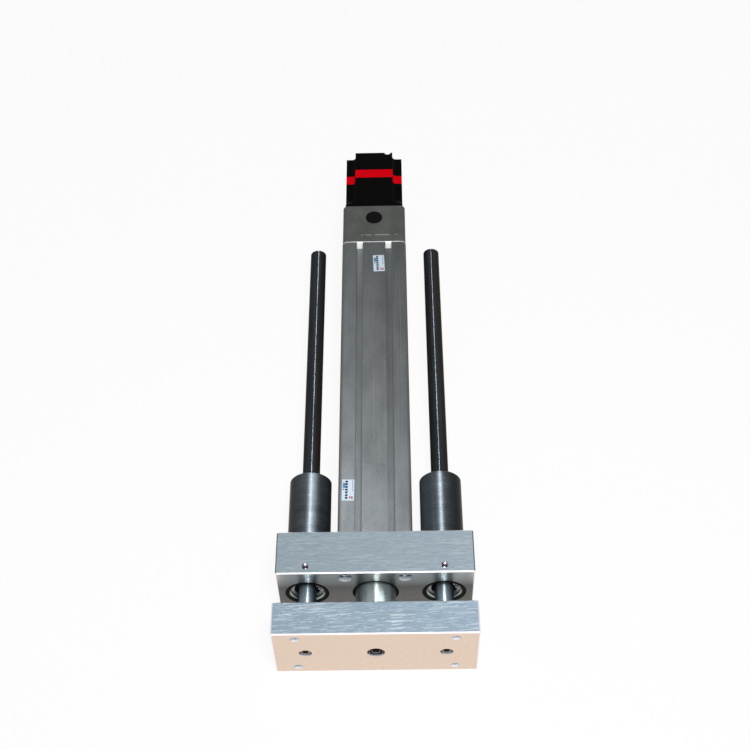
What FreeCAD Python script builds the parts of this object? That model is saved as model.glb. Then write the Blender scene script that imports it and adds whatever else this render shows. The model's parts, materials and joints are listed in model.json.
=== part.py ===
import FreeCAD, Part
import os
import re
import Sketcher

# Guided electric cylinder.
# A motor turns a ball screw through a jaw coupling, and the nut pushes a piston rod out of a
# slotted barrel. Two guide rods in linear bearings keep the front plate square to the rod.
# Frame: X across, Y from the front plate (-Y) to the motor (+Y), Z up.
# The origin is the centre of the guide block's underside. The model is at rest with the rod in.

# Driving dimensions in millimetres
SIZES = {
    "stroke": 250,
    "guide_spacing": 118,
    # Clearances, each on the radius
    "fit_clearance": 0.02,
    "running_clearance": 0.05,
    "thread_clearance": 0.05,
    "shank_clearance": 0.3,
    "screw_clearance": 0.3,
    # Front plate
    "plate_edge": 27,
    "plate_margin": 1.5,
    "plate_depth": 30,
    "plate_gap": 26.5,
    "edge_chamfer": 1,
    "payload_inset_across": 19.5,
    "payload_inset_up": 9,
    "payload_tap": 5,
    "payload_countersink": 7.4,
    "rod_seat": 4,
    "guide_seat": 10,
    # Guide block
    "guide_edge": 25.5,
    "block_margin": 1.5,
    "block_depth": 41,
    "rod_gap": 2.5,
    "port_head_gap": 1.1,
    "port_head_sink": 4,
    "scraper_length": 5,
    "scraper_sink": 0.3,
    "set_screw_setback": 7,
    "set_screw_thread": 6,
    "set_screw_length": 8,
    "set_screw_socket": 3,
    "base_inset_across": 34.5,
    "base_inset_along": 8.5,
    "base_tap": 5,
    "base_tap_depth": 12,
    # Bearing sleeves, linear bearings and guide rods
    "sleeve_wall": 5,
    "sleeve_reach": 72,
    "sleeve_chamfer": 1,
    "waist_gap": 4,
    "mouth_chamfer": 2,
    "ring_inset": 3,
    "ring_thickness": 1.2,
    "ring_groove_depth": 0.7,
    "ring_breadth": 2.4,
    "ring_gap": 1.6,
    "ring_lug_gap": 1.4,
    "ring_lug_hole": 2,
    "ring_lug_spread": 2.6,
    "ring_turn": 25,
    "bearing_length": 37,
    "cage_wall": 3.5,
    "shell_wall": 2.5,
    "shell_groove_width": 1.6,
    "shell_groove_depth": 0.7,
    "shell_groove_inset": 5.2,
    "seal_thickness": 1.6,
    "seal_inset": 1.5,
    "guide_rod_diameter": 16,
    "guide_rod_chamfer": 1.5,
    "guide_overrun": 37,
    # Piston rod, nut carrier and nut
    "rod_diameter": 35,
    "rod_bore_gap": 2,
    "rod_end_wall": 8,
    "rod_chamfer": 1.5,
    "carrier_gap": 0.5,
    "carrier_socket": 12,
    "guide_ring_width": 12,
    "guide_ring_thickness": 2.5,
    "nut_gap": 2,
    "nut_wall": 7,
    "nut_length": 20,
    "nut_flange": 8,
    "nut_flange_gap": 1,
    # Barrel and what closes its front
    "barrel_bore": 46,
    "barrel_wall": 9.5,
    "barrel_radius": 5,
    "slot_width": 6.3,
    "slot_depth": 9.5,
    "slot_spacing": 29.2,
    "port_inset": 7,
    "gland_wall": 1.5,
    "gland_lip": 2,
    "gland_lip_gap": 0.5,
    "bush_wall": 2,
    "bush_length": 16,
    "wiper_length": 6,
    "bumper": 3,
    "bumper_gap": 1,
    "front_play": 2,
    "rear_play": 1,
    # Ball screw and its bearings
    "screw_diameter": 16,
    "screw_chamfer": 1.5,
    "journal_diameter": 12,
    "screw_end_diameter": 10,
    "screw_bearing_diameter": 28,
    "screw_bearing_width": 8,
    "bearing_face_groove": 1,
    "locknut_wall": 4,
    "locknut_length": 7,
    "locknut_slot": 4,
    "locknut_slot_depth": 1.5,
    "retainer_step": 2,
    "retainer_gap": 1,
    "retainer_thickness": 4,
    "retainer_pin_hole": 2.5,
    # Bearing housing and coupling housing
    "housing_step": 0.25,
    "housing_radius": 5,
    "housing_flange": 10.5,
    "housing_chamfer": 1.1,
    "housing_wall": 4,
    "coupling_housing_length": 42,
    "lip_thickness": 6,
    "lip_screw_inset": 3,
    "plug_hole": 14,
    "plug_lip": 1.5,
    "plug_flange_height": 0.8,
    "plug_length": 5,
    # Jaw coupling, with the jaws' width and side gap in degrees
    "hub_diameter": 28,
    "hub_length": 13,
    "hub_gap": 1,
    "jaw_length": 9,
    "jaw_end_gap": 0.5,
    "jaw_root": 14,
    "jaw_angle": 38,
    "jaw_side_angle": 1,
    "spider_inset": 0.5,
    "spider_bore": 9,
    "spider_root_gap": 0.5,
    "clamp_thread": 4,
    "clamp_length": 6,
    "clamp_setback": 5.5,
    # Motor
    "motor_size": 60,
    "motor_radius": 2,
    "motor_notch_gap": 0.5,
    "motor_notch_radius": 4,
    "motor_flange": 6,
    "motor_bell": 6,
    "motor_screw_inset": 5.25,
    "pilot_diameter": 50,
    "pilot_height": 3,
    "stator_length": 34,
    "stator_bore": 32,
    "air_gap": 0.5,
    "rotor_gap": 1,
    "shield_length": 12,
    "cover_length": 27.5,
    "cover_side_wall": 10,
    "cover_wall": 4,
    "cover_chamfer": 1,
    "cover_screw_inset": 13,
    "cover_scoop": 7.2,
    "cover_scoop_depth": 5,
    "cover_scoop_across": 14.8,
    "motor_shaft_diameter": 10,
    "motor_shaft_setback": 1.5,
    "motor_shaft_tail": 10,
    "motor_bearing_diameter": 26,
    "motor_bearing_width": 8,
    "encoder_diameter": 30,
    "encoder_thickness": 2,
    "encoder_hub": 16,
    "encoder_hub_length": 6,
    "grommet_diameter": 11,
    "grommet_lip": 1.5,
    "grommet_lip_height": 1.5,
    "grommet_bore": 6,
    "grommet_drop": 14,
    # Socket head screws, and how far each kind reaches into the piece that it holds
    "large_thread": 8,
    "large_head": 13,
    "large_head_height": 8,
    "large_head_gap": 1,
    "large_socket": 6,
    "medium_thread": 6,
    "medium_head": 10,
    "medium_head_height": 6,
    "medium_socket": 5,
    "flange_thread": 5,
    "flange_head": 8.5,
    "flange_head_height": 5,
    "flange_socket": 4,
    "small_thread": 4,
    "small_head": 7,
    "small_head_height": 4,
    "small_socket": 3,
    "fine_thread": 3,
    "fine_head": 5.5,
    "fine_head_height": 3,
    "fine_socket": 2.5,
    "head_gap": 0.5,
    "head_sink": 1,
    "tap_runout": 3,
    "rod_screw_grip": 17,
    "guide_screw_grip": 13,
    "block_screw_grip": 16,
    "housing_screw_grip": 16,
    "nut_screw_grip": 7,
    "lip_screw_grip": 6,
    "motor_screw_grip": 10,
    "cover_screw_grip": 12,
}

# Sizes that follow from the driving dimensions
PLACES = {
    # Sections and diameters
    "barrel_size": "barrel_bore + 2 * barrel_wall",
    "port_spacing": "barrel_size - 2 * port_inset",
    "block_width": "guide_spacing + 2 * guide_edge",
    "block_height": "barrel_size + 2 * block_margin",
    "axis_height": "block_height / 2",
    "plate_width": "guide_spacing + 2 * plate_edge",
    "plate_height": "barrel_size + 2 * plate_margin",
    "bearing_bore": "guide_rod_diameter + 2 * cage_wall",
    "bearing_diameter": "bearing_bore + 2 * shell_wall",
    "sleeve_diameter": "bearing_diameter + 2 * sleeve_wall",
    "sleeve_waist": "guide_rod_diameter + 2 * waist_gap",
    "ring_lug": "(bearing_diameter - guide_rod_diameter) / 2 - ring_lug_gap",
    "rod_opening": "rod_diameter + 2 * rod_gap",
    "rod_bore": "screw_diameter + 2 * rod_bore_gap",
    "carrier_diameter": "barrel_bore - 2 * carrier_gap",
    "nut_diameter": "screw_diameter + 2 * nut_wall",
    "nut_flange_diameter": "barrel_bore - 2 * nut_flange_gap",
    "nut_screw_circle": "(nut_diameter + nut_flange_diameter) / 2",
    "gland_lip_bore": "rod_diameter + 2 * gland_lip_gap",
    "bush_diameter": "rod_diameter + 2 * bush_wall",
    "wiper_diameter": "barrel_bore - 2 * gland_wall",
    "bumper_diameter": "barrel_bore - 2 * bumper_gap",
    "locknut_diameter": "journal_diameter + 2 * locknut_wall",
    "retainer_bore": "locknut_diameter + 2 * retainer_gap",
    "retainer_diameter": "screw_bearing_diameter + 2 * retainer_step",
    "housing_size": "barrel_size - 2 * housing_step",
    "lip_screw_circle": "retainer_diameter + 2 * lip_screw_inset",
    "coupling_bore": "lip_screw_circle + small_head + 2 * head_gap",
    "plug_flange": "plug_hole + 2 * plug_lip",
    "spider_diameter": "hub_diameter - 2 * spider_inset",
    "motor_notch": "motor_screw_inset + flange_head / 2 + motor_notch_gap",
    "motor_screw_spacing": "motor_size - 2 * motor_screw_inset",
    "rotor_diameter": "stator_bore - 2 * air_gap",
    "cover_bore": "motor_size - 2 * cover_side_wall",
    "cover_screw_spacing": "motor_size - 2 * cover_screw_inset",
    "large_counterbore": "large_head + 2 * large_head_gap",
    "large_counterbore_depth": "large_head_height + head_sink",
    "medium_counterbore": "medium_head + 2 * head_gap",
    "medium_counterbore_depth": "medium_head_height + head_sink",
    "port_counterbore": "medium_head + 2 * port_head_gap",
    "port_counterbore_depth": "medium_head_height + port_head_sink",
    "fine_counterbore": "fine_head + 2 * shank_clearance",
    # Places along Y and lengths
    "block_front": "-block_depth / 2",
    "block_rear": "block_depth / 2",
    "plate_rear": "block_front - plate_gap",
    "plate_front": "plate_rear - plate_depth",
    "sleeve_length": "block_depth + sleeve_reach",
    "sleeve_rear": "block_rear + sleeve_reach",
    "bearing_inset": "ring_inset + ring_thickness",
    "guide_rod_front": "plate_rear - guide_seat",
    "guide_rod_length": "sleeve_rear + stroke + guide_overrun - guide_rod_front",
    "gland_length": "wiper_length + gland_lip + bush_length",
    "gland_rear": "block_rear + gland_length",
    "carrier_length": "carrier_socket + nut_gap + nut_length",
    "carrier_stop": "gland_rear + bumper + front_play",
    "carrier_front": "carrier_stop + stroke",
    "carrier_rear": "carrier_front + carrier_length",
    "nut_rear": "carrier_rear + nut_flange",
    "rod_front": "plate_rear - rod_seat",
    "rod_length": "carrier_front + carrier_socket - rod_front",
    "spigot_front": "nut_rear + rear_play + bumper",
    "spigot_length": "housing_wall + 2 * screw_bearing_width",
    "screw_bearing_front": "spigot_front + housing_wall",
    "barrel_rear": "spigot_front + spigot_length",
    "barrel_length": "barrel_rear - block_rear",
    "housing_length": "spigot_length + housing_flange",
    "housing_rear": "barrel_rear + housing_flange",
    "locknut_rear": "barrel_rear + locknut_length",
    "screw_hub_front": "locknut_rear + hub_gap",
    "screw_end": "screw_hub_front + hub_length",
    "jaws_rear": "screw_end + jaw_length",
    "motor_front": "housing_rear + coupling_housing_length",
    "flange_rear": "motor_front + motor_flange",
    "bell_rear": "flange_rear + motor_bell",
    "stator_rear": "bell_rear + stator_length",
    "shield_rear": "stator_rear + shield_length",
    "cover_rear": "shield_rear + cover_length",
    "motor_shaft_front": "jaws_rear + motor_shaft_setback",
    # Screw lengths under the head, and the depths of their tapped holes
    "rod_screw_length": "plate_depth - large_counterbore_depth - rod_seat + rod_screw_grip",
    "rod_tap_depth": "rod_screw_grip + tap_runout",
    "guide_screw_length": "plate_depth - medium_counterbore_depth - guide_seat + guide_screw_grip",
    "guide_tap_depth": "guide_screw_grip + tap_runout",
    "block_screw_length": "block_depth - port_counterbore_depth + block_screw_grip",
    "housing_screw_length": "housing_flange - medium_counterbore_depth + housing_screw_grip",
    "nut_screw_length": "nut_flange - fine_head_height + nut_screw_grip",
    "lip_screw_length": "lip_thickness + lip_screw_grip",
    "motor_screw_length": "motor_flange + motor_screw_grip",
    "cover_counterbore_depth": "fine_head_height + head_sink",
    "cover_screw_length": "cover_length - cover_counterbore_depth + shield_length + cover_screw_grip",
}

SIDES = {"left": "-guide_spacing / 2", "right": "guide_spacing / 2"}
SIZE_NAME = re.compile(r"[a-z]+(?:_[a-z]+)*")
# How near two measures must be to count as the same place
TOUCH = 1e-4

doc = FreeCAD.newDocument("guided_electric_cylinder")
sheet = doc.addObject("Spreadsheet::Sheet", "sizes")
for row, (size_name, size_value) in enumerate(SIZES.items(), start=1):
    sheet.set(f"A{row}", size_name.replace("_", " "))
    sheet.set(f"B{row}", str(size_value))
    sheet.setAlias(f"B{row}", size_name)
doc.recompute()

sub_parts = []


def sheet_text(text):
    """Spell out places and turn each size's name into a reference to the sheet"""
    def reference(match):
        name = match.group()
        if name in PLACES:
            return f"({sheet_text(PLACES[name])})"
        return f"sizes.{name}" if name in SIZES else name
    return SIZE_NAME.sub(reference, text)


def bind(thing, prop, text):
    thing.setExpression(prop, sheet_text(text))


def new_body(label, x="0", y="0", z="axis_height"):
    """A sub-part whose own origin is on its axis at its front end"""
    body = doc.addObject("PartDesign::Body", label)
    body.Label = label
    bind(body, "Placement.Base.x", x)
    bind(body, "Placement.Base.y", y)
    bind(body, "Placement.Base.z", z)
    sub_parts.append(body)
    return body


def origin_item(body, role):
    return next(item for item in body.Origin.OriginFeatures if item.Role == role)


def new_sketch(body, plane, x="0", y="0", z="0"):
    """A sketch on one of the body's origin planes, moved along the plane's own axes"""
    sketch = body.newObject("Sketcher::SketchObject", f"{body.Label}_sketch")
    sketch.AttachmentSupport = [(origin_item(body, plane), "")]
    sketch.MapMode = "FlatFace"
    bind(sketch, "AttachmentOffset.Base.x", x)
    bind(sketch, "AttachmentOffset.Base.y", y)
    bind(sketch, "AttachmentOffset.Base.z", z)
    return sketch


def front_sketch(body, y="0", x="0", z="0"):
    """A sketch seen from the front: its axes are X and Z, at a distance y behind the body's origin"""
    return new_sketch(body, "XZ_Plane", x=x, y=z, z=f"-({y})")


def size_constraint(sketch, name, constraint, text):
    index = sketch.addConstraint(constraint)
    sketch.renameConstraint(index, name)
    bind(sketch, f"Constraints.{name}", text)


def pin_point(sketch, shape, end, x, y):
    """Hold a point of the sketch at two sizes from the sketch's origin"""
    across = Sketcher.Constraint("DistanceX", -1, 1, shape, end, 1.0)
    along = Sketcher.Constraint("DistanceY", -1, 1, shape, end, 1.0)
    size_constraint(sketch, f"across{shape}", across, x)
    size_constraint(sketch, f"along{shape}", along, y)


def add_outline(sketch, points):
    """A closed outline of straight lines through points given as size texts"""
    first = sketch.GeometryCount
    count = len(points)
    for index in range(count):
        start = FreeCAD.Vector(index, index * index, 0)
        end = FreeCAD.Vector(index + 1, (index + 1) * (index + 1), 0)
        sketch.addGeometry(Part.LineSegment(start, end), False)
    for index in range(count):
        following = first + (index + 1) % count
        sketch.addConstraint(Sketcher.Constraint("Coincident", first + index, 2, following, 1))
    for index, (x, y) in enumerate(points):
        pin_point(sketch, first + index, 1, x, y)


def add_rectangle(sketch, width, height):
    corners = [("-{w}", "-{h}"), ("{w}", "-{h}"), ("{w}", "{h}"), ("-{w}", "{h}")]
    half = {"w": f"({width}) / 2", "h": f"({height}) / 2"}
    add_outline(sketch, [(x.format(**half), y.format(**half)) for x, y in corners])


def add_circles(sketch, diameter, centres=(("0", "0"),)):
    for x, y in centres:
        circle = Part.Circle(FreeCAD.Vector(0, 0, 0), FreeCAD.Vector(0, 0, 1), 1)
        shape = sketch.addGeometry(circle, False)
        size_constraint(sketch, f"round{shape}", Sketcher.Constraint("Diameter", shape, 1.0), diameter)
        pin_point(sketch, shape, 3, x, y)


def four_corners(across, up):
    """The corners of a rectangle round the axis, as centres of holes"""
    return [(f"{sx}({across}) / 2", f"{sz}({up}) / 2") for sx in ("", "-") for sz in ("", "-")]


def on_circle(diameter):
    """Four centres on a circle, on the square's diagonals"""
    side = f"({diameter}) / sqrt(2)"
    return four_corners(side, side)


def add_pad(body, sketch, length):
    """Material from the sketch towards the rear"""
    pad = body.newObject("PartDesign::Pad", f"{body.Label}_pad")
    pad.Profile = sketch
    pad.Reversed = True
    bind(pad, "Length", length)
    doc.recompute()
    return pad


def check_cut(body, before):
    doc.recompute()
    if body.Shape.Volume >= before:
        raise ValueError(f"a cut in {body.Label} removes nothing")


def add_pocket(body, sketch, depth=None, forwards=False):
    """A cut from the sketch towards the rear, or forwards, of a given depth or right through"""
    before = body.Shape.Volume
    pocket = body.newObject("PartDesign::Pocket", f"{body.Label}_pocket")
    pocket.Profile = sketch
    pocket.Reversed = forwards
    if depth is None:
        pocket.Type = "ThroughAll"
    else:
        bind(pocket, "Length", depth)
    check_cut(body, before)
    return pocket


def add_holes(body, sketch, bore, depth=None, head=None, head_depth=None, sunk=None, forwards=False):
    """Drilled holes at the sketch's circles, plain, counterbored (head) or countersunk (sunk)"""
    before = body.Shape.Volume
    doc.recompute()
    hole = body.newObject("PartDesign::Hole", f"{body.Label}_hole")
    hole.Profile = sketch
    hole.ThreadType = "None"
    hole.DrillPoint = "Flat"
    hole.Reversed = forwards
    bind(hole, "Diameter", bore)
    if depth is None:
        hole.DepthType = "ThroughAll"
    else:
        hole.DepthType = "Dimension"
        bind(hole, "Depth", depth)
    if head is not None:
        hole.HoleCutType = "Counterbore"
        hole.HoleCutCustomValues = True
        bind(hole, "HoleCutDiameter", head)
        bind(hole, "HoleCutDepth", head_depth)
    if sunk is not None:
        hole.HoleCutType = "Countersink"
        hole.HoleCutCustomValues = True
        bind(hole, "HoleCutDiameter", sunk)
    check_cut(body, before)
    return hole


def add_turning(body, points, x="0", z="0"):
    """A turned solid: (radius, length along Y) points revolved about an axis along Y"""
    sketch = new_sketch(body, "XY_Plane", x=x, z=z)
    return revolve(body, sketch, points)


def add_upright_turning(body, points, x="0", y="0"):
    """A turned solid about an axis along Z: (radius, height) points"""
    sketch = front_sketch(body, x=x, y=y)
    return revolve(body, sketch, points)


def revolve(body, sketch, points):
    add_outline(sketch, points)
    turning = body.newObject("PartDesign::Revolution", f"{body.Label}_turning")
    turning.Profile = sketch
    turning.ReferenceAxis = (sketch, ["V_Axis"])
    turning.Angle = 360
    doc.recompute()
    return turning


def add_bore(body, points):
    """A turned cut about the body's axis"""
    before = body.Shape.Volume
    sketch = new_sketch(body, "XY_Plane")
    add_outline(sketch, points)
    groove = body.newObject("PartDesign::Groove", f"{body.Label}_bore")
    groove.Profile = sketch
    groove.ReferenceAxis = (sketch, ["V_Axis"])
    groove.Angle = 360
    check_cut(body, before)
    return groove


def ring_points(inner, outer, front, rear):
    """Corners of a plain ring's section, from diameters"""
    return [
        (f"({inner}) / 2", front),
        (f"({outer}) / 2", front),
        (f"({outer}) / 2", rear),
        (f"({inner}) / 2", rear),
    ]


def add_round_pattern(body, features, count):
    """Copies of features turned about the body's own Y axis"""
    pattern = body.newObject("PartDesign::PolarPattern", f"{body.Label}_pattern")
    pattern.Originals = features
    pattern.Axis = (origin_item(body, "Y_Axis"), [""])
    pattern.Angle = 360
    pattern.Occurrences = count
    body.Tip = pattern
    doc.recompute()
    return pattern


def add_mirror(body, features):
    """Copies of features on the other side of the middle plane"""
    mirror = body.newObject("PartDesign::Mirrored", f"{body.Label}_mirror")
    mirror.Originals = features
    mirror.MirrorPlane = (origin_item(body, "YZ_Plane"), [""])
    body.Tip = mirror
    doc.recompute()
    return mirror


def add_guide_grid(body, features, along):
    """Copies of features at both guide rods and at two places along Y"""
    pattern = body.newObject("PartDesign::LinearPattern", f"{body.Label}_pattern")
    pattern.Originals = features
    pattern.Direction = (origin_item(body, "X_Axis"), [""])
    pattern.Occurrences = 2
    bind(pattern, "Length", "guide_spacing")
    pattern.Direction2 = (origin_item(body, "Y_Axis"), [""])
    pattern.Occurrences2 = 2
    bind(pattern, "Length2", along)
    body.Tip = pattern
    doc.recompute()
    return pattern


def edge_names(feature, wanted):
    return [f"Edge{i}" for i, edge in enumerate(feature.Shape.Edges, start=1) if wanted(edge)]


def add_chamfer(body, feature, size, wanted):
    chamfer = body.newObject("PartDesign::Chamfer", f"{body.Label}_chamfer")
    chamfer.Base = (feature, edge_names(feature, wanted))
    bind(chamfer, "Size", size)
    doc.recompute()
    return chamfer


def add_fillet(body, feature, radius, wanted):
    fillet = body.newObject("PartDesign::Fillet", f"{body.Label}_fillet")
    fillet.Base = (feature, edge_names(feature, wanted))
    bind(fillet, "Radius", radius)
    doc.recompute()
    return fillet


def runs_along(edge):
    """True for an edge parallel to the cylinder's axis"""
    direction = edge.Vertexes[-1].Point - edge.Vertexes[0].Point
    return abs(direction.y) > abs(direction.x) + abs(direction.z)


def add_square_pad(body, size, radius, length, y="0"):
    """A square bar along Y with round long edges"""
    sketch = front_sketch(body, y=y)
    add_rectangle(sketch, size, size)
    pad = add_pad(body, sketch, length)
    return add_fillet(body, pad, radius, runs_along)


def add_screw(body, kind, length, x="0", z="0", head_behind=False):
    """A socket head screw along Y, with its head's top at the body's origin"""
    sign = "-" if head_behind else ""
    thread = f"{kind}_thread / 2"
    head = f"{kind}_head / 2"
    under_head = f"{sign}{kind}_head_height"
    tip = f"{sign}({kind}_head_height + {length})"
    turning = add_turning(body, [
        ("0", "0"),
        (head, "0"),
        (head, under_head),
        (thread, under_head),
        (thread, tip),
        ("0", tip),
    ], x=x, z=z)
    sketch = front_sketch(body, x=x, z=z)
    add_hexagon(sketch, f"{kind}_socket")
    socket = add_pocket(body, sketch, f"{kind}_head_height / 2", forwards=head_behind)
    return [turning, socket]


def add_hexagon(sketch, flats):
    corner = f"{flats} / sqrt(3)"
    half_corner = f"{flats} / sqrt(3) / 2"
    half_flats = f"{flats} / 2"
    add_outline(sketch, [
        (corner, "0"),
        (half_corner, half_flats),
        (f"-{half_corner}", half_flats),
        (f"-{corner}", "0"),
        (f"-{half_corner}", f"-{half_flats}"),
        (half_corner, f"-{half_flats}"),
    ])


def four_screws(label, kind, length, spacing, y, head_behind=False):
    """Four like screws on a square round the axis, as one sub-part"""
    body = new_body(label, y=y)
    corner = f"({spacing}) / 2"
    screw = add_screw(body, kind, length, x=corner, z=corner, head_behind=head_behind)
    add_round_pattern(body, screw, 4)


def tapped(thread):
    """The bore of a threaded hole that holds one of the object's own screws"""
    return f"{thread} + 2 * thread_clearance"


def cleared(thread):
    """The bore of a plain hole that a screw passes through"""
    return f"{thread} + 2 * shank_clearance"


# Moving front plate and rods

def front_plate():
    body = new_body("front_plate", y="plate_front")
    sketch = front_sketch(body)
    add_rectangle(sketch, "plate_width", "plate_height")
    pad = add_pad(body, sketch, "plate_depth")
    add_chamfer(body, pad, "edge_chamfer", lambda edge: True)
    corners = front_sketch(body)
    add_circles(corners, "payload_tap", four_corners("plate_width - 2 * payload_inset_across",
                                                      "plate_height - 2 * payload_inset_up"))
    add_holes(body, corners, "payload_tap", sunk="payload_countersink")
    middle = front_sketch(body)
    add_circles(middle, "large_thread")
    add_holes(body, middle, cleared("large_thread"), head="large_counterbore",
              head_depth="large_counterbore_depth")
    guides = front_sketch(body)
    add_circles(guides, "medium_thread", [(x, "0") for x in SIDES.values()])
    add_holes(body, guides, cleared("medium_thread"), head="medium_counterbore",
              head_depth="medium_counterbore_depth")
    rod_seat = front_sketch(body, y="plate_depth")
    add_circles(rod_seat, "rod_diameter + 2 * fit_clearance")
    add_pocket(body, rod_seat, "rod_seat", forwards=True)
    guide_seats = front_sketch(body, y="plate_depth")
    add_circles(guide_seats, "guide_rod_diameter + 2 * fit_clearance", [(x, "0") for x in SIDES.values()])
    add_pocket(body, guide_seats, "guide_seat", forwards=True)


def plate_screws():
    middle = new_body("rod_end_screw", y="plate_front + head_sink")
    add_screw(middle, "large", "rod_screw_length")
    pair = new_body("guide_rod_screws", y="plate_front + head_sink")
    screw = add_screw(pair, "medium", "guide_screw_length", x=SIDES["right"])
    add_mirror(pair, screw)


def guide_rod(side):
    body = new_body(f"guide_rod_{side}", x=SIDES[side], y="guide_rod_front")
    radius = "guide_rod_diameter / 2"
    shoulder = "guide_rod_diameter / 2 - guide_rod_chamfer"
    tap = f"({tapped('medium_thread')}) / 2"
    add_turning(body, [
        (tap, "0"),
        (shoulder, "0"),
        (radius, "guide_rod_chamfer"),
        (radius, "guide_rod_length - guide_rod_chamfer"),
        (shoulder, "guide_rod_length"),
        ("0", "guide_rod_length"),
        ("0", "guide_tap_depth"),
        (tap, "guide_tap_depth"),
    ])


def piston_rod():
    body = new_body("piston_rod", y="rod_front")
    radius = "rod_diameter / 2"
    tap = f"({tapped('large_thread')}) / 2"
    add_turning(body, [
        (tap, "0"),
        ("rod_diameter / 2 - rod_chamfer", "0"),
        (radius, "rod_chamfer"),
        (radius, "rod_length"),
        ("rod_bore / 2", "rod_length"),
        ("rod_bore / 2", "rod_tap_depth + rod_end_wall"),
        ("0", "rod_tap_depth + rod_end_wall"),
        ("0", "rod_tap_depth"),
        (tap, "rod_tap_depth"),
    ])


def nut_carrier():
    body = new_body("nut_carrier", y="carrier_front")
    radius = "carrier_diameter / 2"
    socket = "rod_diameter / 2 + fit_clearance"
    bore = "nut_diameter / 2 + fit_clearance"
    groove = "barrel_bore / 2 - running_clearance - guide_ring_thickness"
    groove_front = "(carrier_length - guide_ring_width) / 2 - fit_clearance"
    groove_rear = "(carrier_length + guide_ring_width) / 2 + fit_clearance"
    add_turning(body, [
        (socket, "0"),
        (radius, "0"),
        (radius, groove_front),
        (groove, groove_front),
        (groove, groove_rear),
        (radius, groove_rear),
        (radius, "carrier_length"),
        (bore, "carrier_length"),
        (bore, "carrier_socket"),
        (socket, "carrier_socket"),
    ])
    screws = front_sketch(body, y="carrier_length")
    add_circles(screws, "fine_thread", on_circle("nut_screw_circle"))
    add_holes(body, screws, tapped("fine_thread"), depth="nut_screw_grip + tap_runout", forwards=True)
    ring = new_body("guide_ring", y="carrier_front + (carrier_length - guide_ring_width) / 2")
    ring_outer = "barrel_bore - 2 * running_clearance"
    ring_inner = "barrel_bore - 2 * running_clearance - 2 * guide_ring_thickness + 2 * fit_clearance"
    add_turning(ring, ring_points(ring_inner, ring_outer, "0", "guide_ring_width"))


def ball_nut():
    body = new_body("ball_nut", y="carrier_rear - nut_length")
    bore = "screw_diameter / 2 + screw_clearance"
    add_turning(body, [
        (bore, "0"),
        ("nut_diameter / 2", "0"),
        ("nut_diameter / 2", "nut_length"),
        ("nut_flange_diameter / 2", "nut_length"),
        ("nut_flange_diameter / 2", "nut_length + nut_flange"),
        (bore, "nut_length + nut_flange"),
    ])
    holes = front_sketch(body, y="nut_length + nut_flange")
    add_circles(holes, "fine_thread", on_circle("nut_screw_circle"))
    add_holes(body, holes, cleared("fine_thread"), depth="nut_flange", forwards=True,
              head="fine_counterbore", head_depth="fine_head_height")
    four_screws("nut_screws", "fine", "nut_screw_length", "nut_screw_circle / sqrt(2)", "nut_rear",
                head_behind=True)


# Guide block, sleeves and linear bearings

def guide_block():
    body = new_body("guide_block", y="block_front")
    sketch = front_sketch(body)
    add_rectangle(sketch, "block_width", "block_height")
    pad = add_pad(body, sketch, "block_depth")
    add_chamfer(body, pad, "edge_chamfer", lambda edge: True)
    middle = front_sketch(body)
    add_circles(middle, "rod_opening")
    add_pocket(body, middle)
    bores = front_sketch(body)
    add_circles(bores, "sleeve_diameter + 2 * fit_clearance", [(x, "0") for x in SIDES.values()])
    add_pocket(body, bores)
    screws = front_sketch(body)
    add_circles(screws, "medium_thread", four_corners("port_spacing", "port_spacing"))
    add_holes(body, screws, cleared("medium_thread"), head="port_counterbore",
              head_depth="port_counterbore_depth")
    top = new_sketch(body, "XY_Plane", y="set_screw_setback", z="block_height / 2")
    add_circles(top, "set_screw_thread", [(x, "0") for x in SIDES.values()])
    add_holes(body, top, tapped("set_screw_thread"), depth="block_height / 2")
    under = new_sketch(body, "XY_Plane", y="block_depth / 2", z="-block_height / 2")
    add_circles(under, "base_tap", four_corners("block_width - 2 * base_inset_across",
                                                "block_depth - 2 * base_inset_along"))
    add_holes(body, under, "base_tap", depth="base_tap_depth", forwards=True)


def block_screws():
    four_screws("block_screws", "medium", "block_screw_length", "port_spacing",
                "block_front + port_head_sink")


def set_screws():
    """Headless screws that hold the sleeves, standing on them"""
    body = new_body("set_screws", y="block_front + set_screw_setback",
                    z="axis_height + sleeve_diameter / 2")
    screw = add_upright_turning(body, ring_points("0", "set_screw_thread", "0", "set_screw_length"),
                                x=SIDES["right"])
    sketch = new_sketch(body, "XY_Plane", x=SIDES["right"], z="set_screw_length")
    add_hexagon(sketch, "set_screw_socket")
    socket = add_pocket(body, sketch, "set_screw_length / 2")
    add_mirror(body, [screw, socket])


def bearing_sleeve(side):
    body = new_body(f"bearing_sleeve_{side}", x=SIDES[side], y="block_front")
    outer = "sleeve_diameter / 2"
    seat = "bearing_diameter / 2 + fit_clearance"
    mouth = f"{seat} + mouth_chamfer"
    waist = "sleeve_waist / 2"
    groove = f"{seat} + ring_groove_depth"
    front_half = [
        (waist, "bearing_inset + bearing_length"),
        (seat, "bearing_inset + bearing_length"),
        (seat, "bearing_inset + fit_clearance"),
        (groove, "bearing_inset + fit_clearance"),
        (groove, "ring_inset - fit_clearance"),
        (seat, "ring_inset - fit_clearance"),
        (seat, "mouth_chamfer"),
        (mouth, "0"),
    ]
    rear_half = [(x, f"sleeve_length - ({y})") for x, y in reversed(front_half)]
    outside = [
        (outer, "0"),
        (outer, "sleeve_length - sleeve_chamfer"),
        (f"{outer} - sleeve_chamfer", "sleeve_length"),
    ]
    add_turning(body, front_half + outside + rear_half)


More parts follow.
